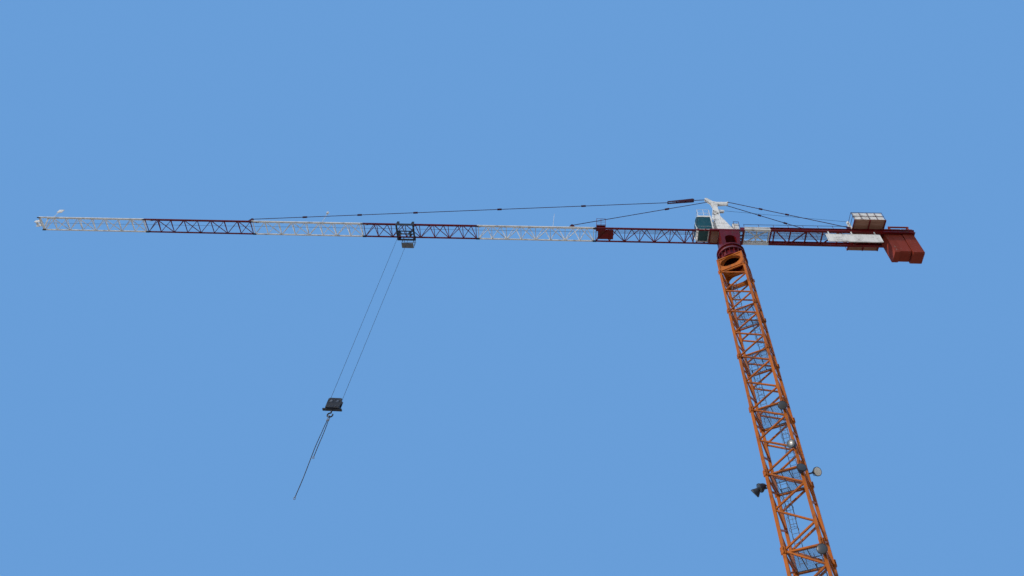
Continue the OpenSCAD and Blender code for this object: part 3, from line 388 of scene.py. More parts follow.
def bar(p, q, radius, sides=8, bevel=0.0):
    """A round or many-sided bar from p to q, its ends bevelled."""
    p, q = Vector(p), Vector(q)
    bpy.ops.object.select_all(action="DESELECT")
    bpy.ops.mesh.primitive_cylinder_add(vertices=sides, radius=radius, depth=(q - p).length,
                                        location=(p + q) / 2)
    piece = bpy.context.object
    piece.rotation_mode = "QUATERNION"
    piece.rotation_quaternion = (q - p).to_track_quat("Z", "Y")
    settle(piece)
    if bevel:
        edit(piece, bpy.ops.mesh.bevel, offset=bevel, segments=1)
    return piece


def ring(centre, major, minor, turn=(0.0, 0.0, 0.0), sides=24, around=6):
    """A torus."""
    bpy.ops.object.select_all(action="DESELECT")
    bpy.ops.mesh.primitive_torus_add(location=centre, rotation=turn, major_radius=major, minor_radius=minor,
                                     major_segments=sides, minor_segments=around)
    return settle(bpy.context.object)


def curve_along(name, points, radius, resolution, closed=False):
    """A round rod along a run of points, as a curve."""
    data = bpy.data.curves.new(name, "CURVE")
    data.dimensions = "3D"
    data.bevel_depth = radius
    data.bevel_resolution = resolution
    data.use_fill_caps = not closed
    line = data.splines.new("POLY")
    line.points.add(len(points) - 1)
    line.use_cyclic_u = closed
    line.use_smooth = True
    for point, place in zip(line.points, points):
        point.co = (*place, 1.0)
    rod = bpy.data.objects.new(name, data)
    bpy.context.scene.collection.objects.link(rod)
    return rod


def cut(piece, tool):
    """Takes the tool's shape out of the piece with a Boolean modifier, and deletes the tool."""
    alone(piece)
    boolean = piece.modifiers.new("cut", "BOOLEAN")
    boolean.operation = "DIFFERENCE"
    boolean.object = tool
    bpy.ops.object.modifier_apply(modifier=boolean.name)
    bpy.data.objects.remove(tool)
    return piece


def joined(pieces):
    """Several objects as one."""
    if len(pieces) > 1:
        bpy.ops.object.select_all(action="DESELECT")
        for piece in pieces:
            piece.select_set(True)
        bpy.context.view_layer.objects.active = pieces[0]
        bpy.ops.object.join()
    return pieces[0]


def row(piece, count, step):
    """Repeats a piece in its own mesh, count times at a step, with an Array modifier that is applied."""
    alone(piece)
    array = piece.modifiers.new("row", "ARRAY")
    array.use_relative_offset = False
    array.use_constant_offset = True
    array.constant_offset_displace = step
    array.count = count
    bpy.ops.object.modifier_apply(modifier=array.name)
    return piece


def spread(piece, places):
    """Repeats a small piece in its own mesh, once at each matrix."""
    mesh = bmesh.new()
    unit = piece.data.copy()
    for place in places:
        copy = unit.copy()
        copy.transform(place)
        mesh.from_mesh(copy)
        bpy.data.meshes.remove(copy)
    mesh.to_mesh(piece.data)
    mesh.free()
    bpy.data.meshes.remove(unit)
    return piece


def dress(piece, name, slot, material=None, angle=30):
    """Names a finished piece, and gives it its material and its smooth faces; the slot names the material
    when no other is given.
    """
    piece.name = name
    piece.data.name = name
    piece.data.materials.clear()
    piece.data.materials.append(finish(material or slot))
    alone(piece)
    bpy.ops.object.shade_smooth_by_angle(angle=math.radians(angle))
    return piece


def seat(piece, name, body, slot, material=None):
    """Dresses a finished piece, and makes it ride on its body."""
    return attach(dress(piece, name, slot, material), body)


def at(x, y, z, turn=0.0):
    """A place and a turn about Z as a matrix."""
    return Matrix.Translation((x, y, z)) @ Matrix.Rotation(turn, 4, "Z")


def all_round(count):
    """Turns about Z at equal steps, all the way round."""
    return [Matrix.Rotation(ALL_ROUND * k / count, 4, "Z") for k in range(count)]


def along_jib(x, y, z):
    """A point given in millimetres from the mast's axis and the jib's bottom chords."""
    return Vector((x * MM, y * MM, JIB_Z + z * MM))


def bolt_head(radius, height):
    """A hexagon bolt head on its washer, standing on the origin along Z."""
    washer = bar((0, 0, 0), (0, 0, height * 0.3), radius * 1.25, 12)
    head = bar((0, 0, height * 0.3), (0, 0, height), radius, 6, radius * 0.15)
    return joined([head, washer])


# Settings

def colour_of(name, description, default):
    """A colour property."""
    return bpy.props.FloatVectorProperty(name=name, description=description, subtype="COLOR", default=default)


def length_of(name, description, default):
    """A length property."""
    return bpy.props.FloatProperty(name=name, description=description, unit="LENGTH", default=default)


class CraneFinishes(bpy.types.PropertyGroup):
    """Colours of the crane's finishes."""

    mast: colour_of("Mast", "Orange-yellow paint of the mast", (0.34, 0.088, 0.006))
    red: colour_of("Red", "Dark red paint of the red lengths", (0.125, 0.004, 0.006))
    white: colour_of("White", "Chalky white paint", (0.76, 0.76, 0.755))
    steel: colour_of("Steel", "Galvanised ladders, gratings and fittings", (0.20, 0.21, 0.24))
    dark: colour_of("Dark steel", "Trolley, hook block and lamp housings", (0.012, 0.012, 0.016))
    rope: colour_of("Rope", "Crowns of the rope's strands", (0.045, 0.045, 0.055))
    glass: colour_of("Glass", "Tint of the cab's glass", (0.006, 0.085, 0.100))
    planks: colour_of("Planks", "Boards of the platforms", (0.38, 0.15, 0.075))
    ballast: colour_of("Ballast", "Coating of the counterweight slabs", (0.21, 0.028, 0.013))


class CraneMastSizes(bpy.types.PropertyGroup):
    """Sizes of what is fitted to the mast."""

    turn: bpy.props.FloatProperty(name="Turn", description="Angle between the mast's sides and the jib",
                                  subtype="ANGLE", default=math.radians(-28))
    bolt: length_of("Joint bolt", "Radius of a long bolt at a section joint", 2.0 * MM)
    sleeve: length_of("Bolt sleeve", "Length of a bolt's sleeve", 15 * MM)
    hoop: length_of("Hoop", "Radius of a ladder cage's hoop", 24 * MM)
    hoop_pitch: length_of("Hoop pitch", "Height from one hoop to the next", 70 * MM)
    nut: length_of("Holding-down nut", "Radius of a holding-down nut", 5.5 * MM)


class CraneDeckSizes(bpy.types.PropertyGroup):
    """Sizes of gratings and boards."""

    bearing_pitch: length_of("Bearing bars", "Pitch of a grating's bearing bars", 3 * MM)
    platform_pitch: length_of("Platform bars", "Pitch of a mast platform's bearing bars", 5 * MM)
    bearing_bar: length_of("Bearing bar", "Thickness of a bearing bar", 0.6 * MM)
    cross_pitch: length_of("Cross rods", "Pitch of a grating's cross rods", 10 * MM)
    board: length_of("Board", "Width of a platform board with its gap", 22.75 * MM)
    board_gap: length_of("Board gap", "Gap between two boards", 0.8 * MM)


class CraneRopeSizes(bpy.types.PropertyGroup):
    """Diameters of ropes and sling legs."""

    rope: length_of("Hoist rope", "Diameter of the hoist rope", 2.4 * MM)
    sling: length_of("Sling leg", "Diameter of a sling leg", 5 * MM)


class CraneView(bpy.types.PropertyGroup):
    """The camera's stand and lens, at the model's scale."""

    stand: bpy.props.FloatVectorProperty(name="Stand", description="Where the camera stands", subtype="XYZ",
                                         unit="LENGTH", default=(-1.1274, -3.3119, 0.1599))
    right: bpy.props.FloatVectorProperty(name="Right", description="Direction to the right of the picture",
                                         subtype="XYZ", default=(0.99463, 0.03487, 0.09747))
    ahead: bpy.props.FloatVectorProperty(name="Ahead", description="Direction that the camera looks in",
                                         subtype="XYZ", default=(-0.09988, 0.57090, 0.81492))
    lens: bpy.props.FloatProperty(name="Lens", description="Focal length on a 36 mm sensor", default=26.70)
    backdrop: colour_of("Backdrop", "Plain backdrop behind the crane", (0.14, 0.34, 0.69))
    sun: bpy.props.FloatProperty(name="Sun", description="Strength of the low sun lamp", default=2.7)
    sky: bpy.props.FloatProperty(name="Sky", description="Strength of the soft sky light", default=0.75)


# Stage and finishes

SENSOR_WIDTH = 36.0
FLOOR_SIZE = 60.0
FLOOR_COLOUR = (0.30, 0.29, 0.27)
SKY_COLOUR = (0.80, 0.86, 0.95)
SUN_COLOUR = (1.0, 0.95, 0.87)
SUN_FROM = (-0.80, -0.35, 0.42)
SUN_WIDTH = math.radians(4)


class CRANE_OT_stage(bpy.types.Operator):
    """Camera, floor, backdrop and lamps."""

    bl_idname = "crane.stage"
    bl_label = "Stage"

    def camera(self, view):
        """The camera at the photographed view."""
        data = bpy.data.cameras.new("camera")
        data.lens = view.lens
        data.sensor_width = SENSOR_WIDTH
        data.clip_end = 100.0
        ahead = Vector(view.ahead).normalized()
        right = Vector(view.right).normalized()
        turn = Matrix((right, right.cross(ahead), -ahead)).transposed().to_4x4()
        camera = bpy.data.objects.new("camera", data)
        camera.matrix_world = Matrix.Translation(view.stand) @ turn
        return camera

    def backdrop(self, view):
        """Soft light on the object, and a plain backdrop to the camera, mirrors and glass."""
        world = bpy.data.worlds.new("world")
        world.use_nodes = True
        tree = world.node_tree
        light = tree.nodes["Background"]
        light.inputs["Color"].default_value = (*SKY_COLOUR, 1.0)
        light.inputs["Strength"].default_value = view.sky
        plain = tree.nodes.new("ShaderNodeBackground")
        plain.inputs["Color"].default_value = (*view.backdrop, 1.0)
        rays = tree.nodes.new("ShaderNodeLightPath")
        seen = rays.outputs["Is Camera Ray"]
        for name in ("Is Glossy Ray", "Is Transmission Ray"):
            either = tree.nodes.new("ShaderNodeMath")
            either.operation = "MAXIMUM"
            tree.links.new(seen, either.inputs[0])
            tree.links.new(rays.outputs[name], either.inputs[1])
            seen = either.outputs[0]
        mixed = tree.nodes.new("ShaderNodeMixShader")
        tree.links.new(seen, mixed.inputs[0])
        tree.links.new(light.outputs[0], mixed.inputs[1])
        tree.links.new(plain.outputs[0], mixed.inputs[2])
        tree.links.new(mixed.outputs[0], tree.nodes["World Output"].inputs["Surface"])
        return world

    def execute(self, context):
        view = context.scene.crane_view
        camera = self.camera(view)
        context.scene.collection.objects.link(camera)
        context.scene.camera = camera
        bpy.ops.object.select_all(action="DESELECT")
        bpy.ops.mesh.primitive_plane_add(size=FLOOR_SIZE)
        floor = context.object
        floor.name = "floor"
        floor.data.materials.append(Tree("floor").finish(color=FLOOR_COLOUR, rough=0.9))
        context.scene.world = self.backdrop(view)
        sun = bpy.data.lights.new("sun", "SUN")
        sun.energy = view.sun
        sun.angle = SUN_WIDTH
        sun.color = SUN_COLOUR
        lamp = bpy.data.objects.new("sun", sun)
        lamp.rotation_euler = Vector(SUN_FROM).to_track_quat("Z", "Y").to_euler()
        context.scene.collection.objects.link(lamp)
        context.scene.view_settings.view_transform = "Standard"
        return {"FINISHED"}


OTHER_FINISHES = {
    # The trolley's basket and the mast's ladder take the darker copy of the zinc: painted shade
    "running_ropes": "hoist_rope", "trolley_basket": "shaded_zinc", "mast_ladder": "shaded_zinc",
    # Handrails and ties take the darker copy of the red paint: painted shade
    "handrails": "shaded_red_paint", "inner_tie": "shaded_red_paint", "outer_tie": "shaded_red_paint",
    "counter_ties": "shaded_red_paint",
}


class CRANE_OT_finishes(bpy.types.Operator):
    """Paint, zinc, glass and rope on the frame's own pieces."""

    bl_idname = "crane.finishes"
    bl_label = "Finishes"

    def execute(self, context):
        for part in frame["record"]["subparts"]:
            name = OTHER_FINISHES.get(part["node"], part["material_slot"])
            slots = frame["nodes"][part["node"]].data.materials
            slots.clear()
            slots.append(finish(name))
        return {"FINISHED"}


# Mast

def mast_turned(x=0.0, y=0.0, z=0.0, turn=0.0):
    """A place on the mast, given along its own sides."""
    return Matrix.Rotation(bpy.context.scene.crane_mast.turn, 4, "Z") @ at(x, y, z, turn)


class CRANE_OT_mast_joints(bpy.types.Operator):
    """Sleeves with long bolts on the outer faces of the posts, at each section joint."""

    bl_idname = "crane.mast_joints"
    bl_label = "Mast joints"

    def execute(self, context):
        sizes = context.scene.crane_mast
        gap = 2 * MM
        face = 10.5 * MM
        mid = -face - 3 * MM
        sleeves = [block((-3.2 * MM, -face - 6 * MM, low), (3.2 * MM, -face + 0.2 * MM, low + sizes.sleeve))
                   for low in (gap, -gap - sizes.sleeve)]
        reach = gap + sizes.sleeve
        shank = bar((0, mid, -reach - 3 * MM), (0, mid, reach + 5 * MM), sizes.bolt, 8)
        head = bar((0, mid, reach), (0, mid, reach + 3 * MM), sizes.bolt * 1.7, 6, 0.3 * MM)
        nut = bar((0, mid, -reach - 2.6 * MM), (0, mid, -reach), sizes.bolt * 1.7, 6, 0.3 * MM)
        unit = joined([*sleeves, shank, head, nut])
        levels = [MAST_BASE + level * MAST_SECTION for level in range(1, MAST_SECTIONS + 1)]
        places = [mast_turned() @ corner @ at(-POST_PITCH, -POST_PITCH, z, -QUARTER * side)
                  for z in levels for corner in all_round(4) for side in range(2)]
        seat(spread(unit, places), "mast_joint_bolts", "mast", "mast_paint")
        return {"FINISHED"}


class CRANE_OT_ladder_cages(bpy.types.Operator):
    """Hoops and straps round the upper part of each ladder."""

    bl_idname = "crane.ladder_cages"
    bl_label = "Ladder cages"

    def execute(self, context):
        sizes = context.scene.crane_mast
        stile_y = 44 * MM
        centre_y = stile_y - 16 * MM
        low, top = 210 * MM, 450 * MM
        hoop = ring((0, centre_y, low), sizes.hoop, 1.2 * MM)
        trim(hoop, (0, stile_y, 0), (0, 1, 0))
        count = int((top - low) / sizes.hoop_pitch) + 1
        row(hoop, count, (0, 0, sizes.hoop_pitch))
        strap_low, strap_top = low - 2 * MM, low + (count - 1) * sizes.hoop_pitch + 2 * MM
        straps = []
        for angle in (-150, -110, -70, -30):
            x = sizes.hoop * math.cos(math.radians(angle))
            y = centre_y + sizes.hoop * math.sin(math.radians(angle))
            straps.append(bar((x, y, strap_low), (x, y, strap_top), 1.0 * MM, 6))
        unit = joined([hoop, *straps])
        places = []
        for i in range(MAST_SECTIONS):
            side = 1 if i % 2 == 0 else -1
            places.append(mast_turned(side * LADDER_OFFSET, 0, MAST_BASE + i * MAST_SECTION - STRUT_DROP))
        seat(spread(unit, places), "ladder_cages", "mast", "galvanised", "shaded_zinc")
        return {"FINISHED"}


class CRANE_OT_base_nuts(bpy.types.Operator):
    """Holding-down bolts with nuts and washers on the base cross's feet."""

    bl_idname = "crane.base_nuts"
    bl_label = "Holding-down nuts"

    def execute(self, context):
        sizes = context.scene.crane_mast
        foot = 8 * MM
        nut = bolt_head(sizes.nut, 7 * MM)
        stub = bar((0, 0, 0), (0, 0, 13 * MM), 2.8 * MM, 12, 0.4 * MM)
        unit = joined([nut, stub])
        places = [mast_turned(turn=math.radians(45 + 90 * k)) @ at(radius, 0, foot)
                  for k in range(4) for radius in (185 * MM, 215 * MM)]
        seat(spread(unit, places), "holding_down_nuts", "mast", "galvanised")
        return {"FINISHED"}


class CRANE_OT_slewing_support(bpy.types.Operator):
    """The open box frame on the mast's top, and the ribbed drum that carries the slewing ring."""

    bl_idname = "crane.slewing_support"
    bl_label = "Slewing support"

    def box_frame(self, low, top):
        """Posts, base beams, face plates with arched openings, and a top plate with a round opening."""
        out, inner = 101.5 * MM, 84.5 * MM
        plate, beam_h = 14 * MM, 34 * MM
        arch_half, opening_r = 79 * MM, 76 * MM
        post = block((-out, -out, low), (-inner, -inner, top - plate))
        beam = block((-inner, -out + 1 * MM, low), (inner, -out + 13 * MM, low + beam_h))
        face = block((-inner - 1 * MM, -out + 5 * MM, low + beam_h - 1 * MM),
                     (inner + 1 * MM, -out + 9 * MM, top - plate + 1 * MM))
        arch = bar((0, -out - 5 * MM, 0), (0, -out + 20 * MM, 0), 1.0, 40)
        arch.scale = (arch_half, 1.0, (top - low - plate - beam_h) / 2 - 2 * MM)
        arch.location = (0, 0, (low + beam_h + top - plate) / 2)
        settle(arch)
        side = spread(joined([post, beam, cut(face, arch)]), all_round(4))
        cover = block((-out, -out, top - plate), (out, out, top))
        cut(cover, bar((0, 0, top - 2 * plate), (0, 0, top + plate), opening_r, 48))
        return spread(joined([side, cover]), [mast_turned()])

    def drum(self, low, top):
        """A tube with a flange at each end and ribs round it."""
        wall_r, bore_r, flange_r = 94 * MM, 80 * MM, 112 * MM
        flange_h, past, ribs = 12 * MM, 5 * MM, 20
        wall = bar((0, 0, low), (0, 0, top), wall_r, 64)
        cut(wall, bar((0, 0, low - past), (0, 0, top + past), bore_r, 64))
        flanges = []
        for z in (low, top - flange_h):
            flange = bar((0, 0, z), (0, 0, z + flange_h), flange_r, 64, 0.8 * MM)
            hole = bar((0, 0, z - past), (0, 0, z + flange_h + past), bore_r - 1 * MM, 64)
            flanges.append(cut(flange, hole))
        rib = block((wall_r - 1 * MM, -2 * MM, low + 11 * MM), (flange_r - 4 * MM, 2 * MM, top - 11 * MM))
        return joined([wall, *flanges, spread(rib, all_round(ribs))])

    def execute(self, context):
        low = MAST_BASE + MAST_SECTIONS * MAST_SECTION
        ring_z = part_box("ring_lower")[0].z
        middle = low + 165 * MM
        support = seat(self.box_frame(low + SEAM, middle), "support_frame", "mast", "mast_paint")
        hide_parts("slewing_support")
        drum = seat(self.drum(middle, ring_z - SEAM), "bearing_drum", "mast", "red_paint")
        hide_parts("slewing_support")
        return {"FINISHED"}


class CRANE_OT_ring_bolts(bpy.types.Operator):
    """Bolts round the turret's flange over the slewing ring, and under the ring on the mast."""

    bl_idname = "crane.ring_bolts"
    bl_label = "Slewing ring bolts"

    def execute(self, context):
        flange_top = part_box("turntable")[0].z + 14 * MM
        seat_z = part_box("ring_lower")[0].z - SEAM - 12 * MM
        count, radius, height = 36, 2.6 * MM, 4 * MM
        over = [turn @ at(105 * MM, 0, flange_top) for turn in all_round(count)]
        seat(spread(bolt_head(radius, height), over), "flange_bolts", "upperworks", "dark_steel")
        under = [turn @ at(104 * MM, 0, seat_z) @ UPSIDE_DOWN for turn in all_round(count)]
        seat(spread(bolt_head(radius, height), under), "ring_seat_bolts", "mast", "dark_steel")
        return {"FINISHED"}


# Jib

class CRANE_OT_jib_joints(bpy.types.Operator):
    """Splice plates, lugs and pins where the jib's sections join."""

    bl_idname = "crane.jib_joints"
    bl_label = "Jib joints"

    def execute(self, context):
        joints = [section[0].x for section in SECTIONS]
        half_w = 64 * MM
        top_z = 100 * MM
        plate = block((-16 * MM, -5 * MM, -9 * MM), (16 * MM, 5 * MM, -CHORD_HALF + 0.2 * MM))
        lug = block((-13 * MM, 2 * MM, -5.5 * MM), (13 * MM, 7 * MM, 3 * MM))
        bolts = [at(x, 0, -9 * MM) @ UPSIDE_DOWN for x in (-11 * MM, -4 * MM, 4 * MM, 11 * MM)]
        heads = spread(bolt_head(2.2 * MM, 2.6 * MM), bolts)
        places = [at(x, side * half_w, JIB_Z, turn)
                  for x in joints for side, turn in ((-1, 0.0), (1, math.pi))]
        bottom = spread(joined([plate, lug, heads]), places)
        cheeks = [block((-14 * MM, y, top_z - 7 * MM), (14 * MM, y + 2.5 * MM, top_z + 7 * MM))
                  for y in (-7.3 * MM, 4.8 * MM)]
        pins = [bar((x, -10 * MM, top_z), (x, 10 * MM, top_z), 3 * MM, 12, 0.4 * MM)
                for x in (-8 * MM, 8 * MM)]
        top = spread(joined([*cheeks, *pins]), [at(x, 0, JIB_Z) for x in joints])
        seat(joined([bottom, top]), "jib_joint_pins", "upperworks", "dark_steel")
        return {"FINISHED"}


# Decks

def grating(low, high, pitch, edge=1.2 * MM):
    """One grating: bearing bars across, cross rods along, and a flat bar round the edge."""
    sizes = bpy.context.scene.crane_decks
    low, high = Vector(low), Vector(high)
    bearing = block(low, (low.x + sizes.bearing_bar, high.y, high.z), 0.1 * MM)
    row(bearing, int((high.x - low.x) / pitch), (pitch, 0, 0))
    rod = block((low.x, low.y, high.z - 0.8 * MM), (high.x, low.y + 0.6 * MM, high.z), 0.1 * MM)
    row(rod, int((high.y - low.y) / sizes.cross_pitch) + 1, (0, sizes.cross_pitch, 0))
    edges = [block((low.x, y, low.z), (high.x, y + edge, high.z), 0.2 * MM) for y in (low.y, high.y - edge)]
    ends = [block((x, low.y, low.z), (x + edge, high.y, high.z), 0.2 * MM) for x in (low.x, high.x - edge)]
    return joined([bearing, rod, *edges, *ends])


class CRANE_OT_rest_platforms(bpy.types.Operator):
    """Open gratings on angle frames inside the mast, each with its ladder hatch."""

    bl_idname = "crane.rest_platforms"
    bl_label = "Rest platforms"

    def platform(self, side):
        """A platform in the mast's axes, with its hatch to one side."""
        half = 82.2 * MM
        thick = 4 * MM
        pitch = bpy.context.scene.crane_decks.platform_pitch
        hatch = (side * LADDER_OFFSET - 24 * MM, side * LADDER_OFFSET + 24 * MM)
        near, far = -6 * MM, 46.3 * MM
        fields = [((-half, -half), (hatch[0], half)), ((hatch[1], -half), (half, half)),
                  ((hatch[0], -half), (hatch[1], near)), ((hatch[0], far), (hatch[1], half))]
        parts = [grating((*a, 0), (*b, thick), pitch, 2.4 * MM) for a, b in fields]
        bearers = [block((x - 2 * MM, -half, -4 * MM), (x + 2 * MM, half, 0.3 * MM), 0.4 * MM)
                   for x in (-80 * MM, side * -28 * MM, 80 * MM)]
        return joined([*parts, *bearers])

    def execute(self, context):
        for side, first, name in ((1, 1, "right"), (-1, 2, "left")):
            places = [mast_turned(z=MAST_BASE + i * MAST_SECTION - STRUT_DROP - 2 * MM)
                      for i in range(first, MAST_SECTIONS, 2)]
            unit = spread(self.platform(side), places)
            platforms = seat(unit, "platforms_hatch_" + name, "mast", "galvanised", "shaded_zinc")
            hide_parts("rest_platforms")
        return {"FINISHED"}


class CRANE_OT_gratings(bpy.types.Operator):
    """Open gratings of the slewing frame, the counter-jib and the jib's walkway."""

    bl_idname = "crane.gratings"
    bl_label = "Gratings"

    def execute(self, context):
        panels = {
            "slewing_deck_grating": ((-4, -42, 15.3), (136, 42, 18.3)),
            "counter_jib_grating": ((144.3, -50, 34.3), (998, 30, 37.3)),
            "jib_walkway_grating": ((-928, -40, 2.8), (-270, -14, 4.8)),
        }
        pitch = context.scene.crane_decks.bearing_pitch
        for name, (low, high) in panels.items():
            piece = seat(grating(along_jib(*low), along_jib(*high), pitch), name, "upperworks", "galvanised")
            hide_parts("walkway_gratings")
        return {"FINISHED"}


class CRANE_OT_boards(bpy.types.Operator):
    """Boards of the winch platform and of the floor in front of the tower head."""

    bl_idname = "crane.boards"
    bl_label = "Boards"

    def execute(self, context):
        sizes = context.scene.crane_decks
        draw = random.Random(11)
        low, high = along_jib(1000, -160, 53.3), along_jib(1248.5, 136, 57.3)
        boards = []
        for i in range(int((high.y - low.y) / sizes.board + 0.5)):
            near = low.y + i * sizes.board + sizes.board_gap / 2
            far = near + sizes.board - sizes.board_gap
            ends = [draw.uniform(0, 4) * MM for _ in range(2)]
            drop = draw.uniform(0, 0.4) * MM
            boards.append(block((low.x + ends[0], near, low.z), (high.x - ends[1], far, high.z - drop),
                                0.5 * MM))
        platform = seat(joined(boards), "winch_platform_boards", "upperworks", "planks")
        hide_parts("plank_floors")
        low, high = along_jib(-128, -56.7, -3), along_jib(-67.3, 56.7, 1)
        count = 3
        width = (high.x - low.x) / count
        floor = [block((low.x + k * width + SEAM, low.y, low.z),
                       (low.x + (k + 1) * width - SEAM, high.y, high.z), 0.5 * MM) for k in range(count)]
        front = seat(joined(floor), "front_floor_boards", "upperworks", "planks")
        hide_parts("plank_floors")
        return {"FINISHED"}


# Ropes and slings

class CRANE_OT_falls(bpy.types.Operator):
    """The hoist's two falls."""

    bl_idname = "crane.falls"
    bl_label = "Hoist falls"

    def execute(self, context):
        radius = context.scene.crane_ropes.rope / 2
        low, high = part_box("hoist_falls")
        trolley_x = (low.x + high.x) / 2
        top_gap = high.x - low.x - 2 * radius
        block_gap = 78 * MM
        falls = [bar((trolley_x + side * block_gap / 2, 0, low.z),
                     (trolley_x + side * top_gap / 2, 0, high.z), radius, 10) for side in (-1, 1)]
        rope = dress(joined(falls), "hoist_ropes", "dark_steel", "hoist_rope", 45)
        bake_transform(rope)
        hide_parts("hoist_falls")
        return {"FINISHED"}


class CRANE_OT_block_fittings(bpy.types.Operator):
    """Sheave pins with their keeper plates, and the bolts that hold the hook block's cheeks."""

    bl_idname = "crane.block_fittings"
    bl_label = "Hook block fittings"

    def execute(self, context):
        low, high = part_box("block_sheaves")
        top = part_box("hook_block")[1].z
        face = 16 * MM
        radius = (high.z - low.z) / 2
        middle = (low.x + high.x) / 2
        boss = bar((0, -face - 3 * MM, 0), (0, -face + 0.5 * MM, 0), 8 * MM, 24, 0.6 * MM)
        keeper = block((-11 * MM, -face - 1.6 * MM, -13 * MM), (11 * MM, -face + 0.3 * MM, -8.5 * MM),
                       0.3 * MM)
        pins = spread(joined([boss, keeper]), [Matrix.Translation((x, 0, (low.z + high.z) / 2))
                                               for x in (low.x + radius, high.x - radius)])
        upright = Matrix.Rotation(QUARTER, 4, "X")
        spots = [(x, -72) for x in (-38, -19, 0, 19, 38)] + [(x, -14) for x in (-36, 0, 36)]
        heads = spread(bolt_head(2.4 * MM, 3 * MM),
                       [Matrix.Translation((middle + x * MM, -face, top + z * MM)) @ upright
                        for x, z in spots])
        centre = Matrix.Translation((middle, 0, 0))
        pair = [Matrix(), centre @ Matrix.Rotation(math.pi, 4, "Z") @ centre.inverted()]
        fittings = spread(joined([pins, heads]), pair)
        seat(fittings, "block_fittings", "hook_block", "galvanised", "shaded_zinc")
        return {"FINISHED"}


class CRANE_OT_slings(bpy.types.Operator):
    """The two sling legs that hang from the hook's ring."""

    bl_idname = "crane.slings"
    bl_label = "Slings"

    routes = {
        "sling_long": [
            (-4, -94), (-5, -130), (-6, -170), (-7, -210), (-8, -250), (-9, -290), (-9, -330), (-8, -370),
            (-7, -410), (-6, -450), (-5, -490), (-4, -530), (-4, -570), (-4, -610), (-5, -650), (-5, -684),
        ],
        "sling_short": [
            (4, -94), (5, -115), (6, -136), (6, -157), (7, -178), (7, -199), (7, -220), (7, -241),
            (6, -262), (6, -283), (6, -304), (6, -325), (6, -346), (6, -367), (6, -384),
        ],
    }

    def execute(self, context):
        diameter = context.scene.crane_ropes.sling
        hook_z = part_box("sling_long")[1].z + 94 * MM
        falls_low, falls_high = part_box("hoist_falls")
        trolley_x = (falls_low.x + falls_high.x) / 2
        for node, route in self.routes.items():
            points = [Vector((trolley_x + x * MM, 0, hook_z + z * MM)) for x, z in route]
            leg = curve_along(node + "_leg", points, diameter / 2, 3)
            leg.data.materials.append(finish("sling_rope"))
            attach(leg, "hook")
            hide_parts(node)
        return {"FINISHED"}


# Lamps

# Each floodlight: its post, height and direction from it, its reach, its tilt and its turn
LAMPS = [(1, 3225, -90, 40, 100, -20), (1, 3548, -90, 24, 120, 0), (2, 3200, 0, 42, 120, -40),
         (0, 3040, 180, 30, 120, 20), (0, 3022, 180, 64, 120, -10), (1, 3055, -90, 27, 90, 30),
         (1, 2555, -90, 22, 100, 0)]
# The floodlight whose lens is painted pale: a painted glint
GLINT_LAMP = 2


class CRANE_OT_lamps(bpy.types.Operator):
    """Front glass, rims and yokes of the mast's floodlights, and the ring round the tip's lamp."""

    bl_idname = "crane.lamps"
    bl_label = "Lamps"

    def execute(self, context):
        places = []
        for corner, z, direction, reach, tilt, turn in LAMPS:
            side_x = -1 if corner in (0, 3) else 1
            side_y = -1 if corner < 2 else 1
            post = mast_turned(side_x * POST_PITCH, side_y * POST_PITCH, z * MM, math.radians(direction))
            aim = Matrix.Rotation(math.radians(turn), 4, "Z") @ Matrix.Rotation(math.radians(tilt), 4, "Y")
            places.append(post @ at(reach * MM, 0, 0) @ aim)
        bpy.ops.object.select_all(action="DESELECT")
        bpy.ops.mesh.primitive_cylinder_add(vertices=32, radius=23 * MM, depth=1.6 * MM,
                                            location=(0, 0, 24.5 * MM))
        lens = settle(bpy.context.object)
        edit(lens, bpy.ops.mesh.bevel, offset=0.6 * MM, segments=2)
        # One lens gets the pale glass: a painted glint; the others keep the dark lens
        glint_copy = lens.copy()
        glint_copy.data = lens.data.copy()
        context.scene.collection.objects.link(glint_copy)
        glint_piece = spread(glint_copy, [places[GLINT_LAMP]])
        seat(glint_piece, "floodlight_glint_glass", "mast", "cab_glass", "glint_lens")
        dark = [place for i, place in enumerate(places) if i != GLINT_LAMP]
        seat(spread(lens, dark), "floodlight_glass", "mast", "cab_glass", "lamp_lens")
        rim = ring((0, 0, 24 * MM), 24.6 * MM, 1.6 * MM, sides=32)
        yoke = ring((0, 0, 2 * MM), 21 * MM, 1.5 * MM, UPRIGHT, sides=24)
        trim(yoke, (0, 0, 4 * MM), (0, 0, 1))
        seat(spread(joined([rim, yoke]), places), "floodlight_rims", "mast", "dark_steel")
        tip_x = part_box("jib_lamps")[0].x
        centre = Vector((tip_x + 24 * MM, 13.3 * MM, JIB_Z + 245 * MM))
        glass = ring(centre, 15 * MM, 3 * MM, UPRIGHT, sides=28)
        seat(glass, "tip_lamp_ring", "upperworks", "white_paint")
        return {"FINISHED"}


# Tower head

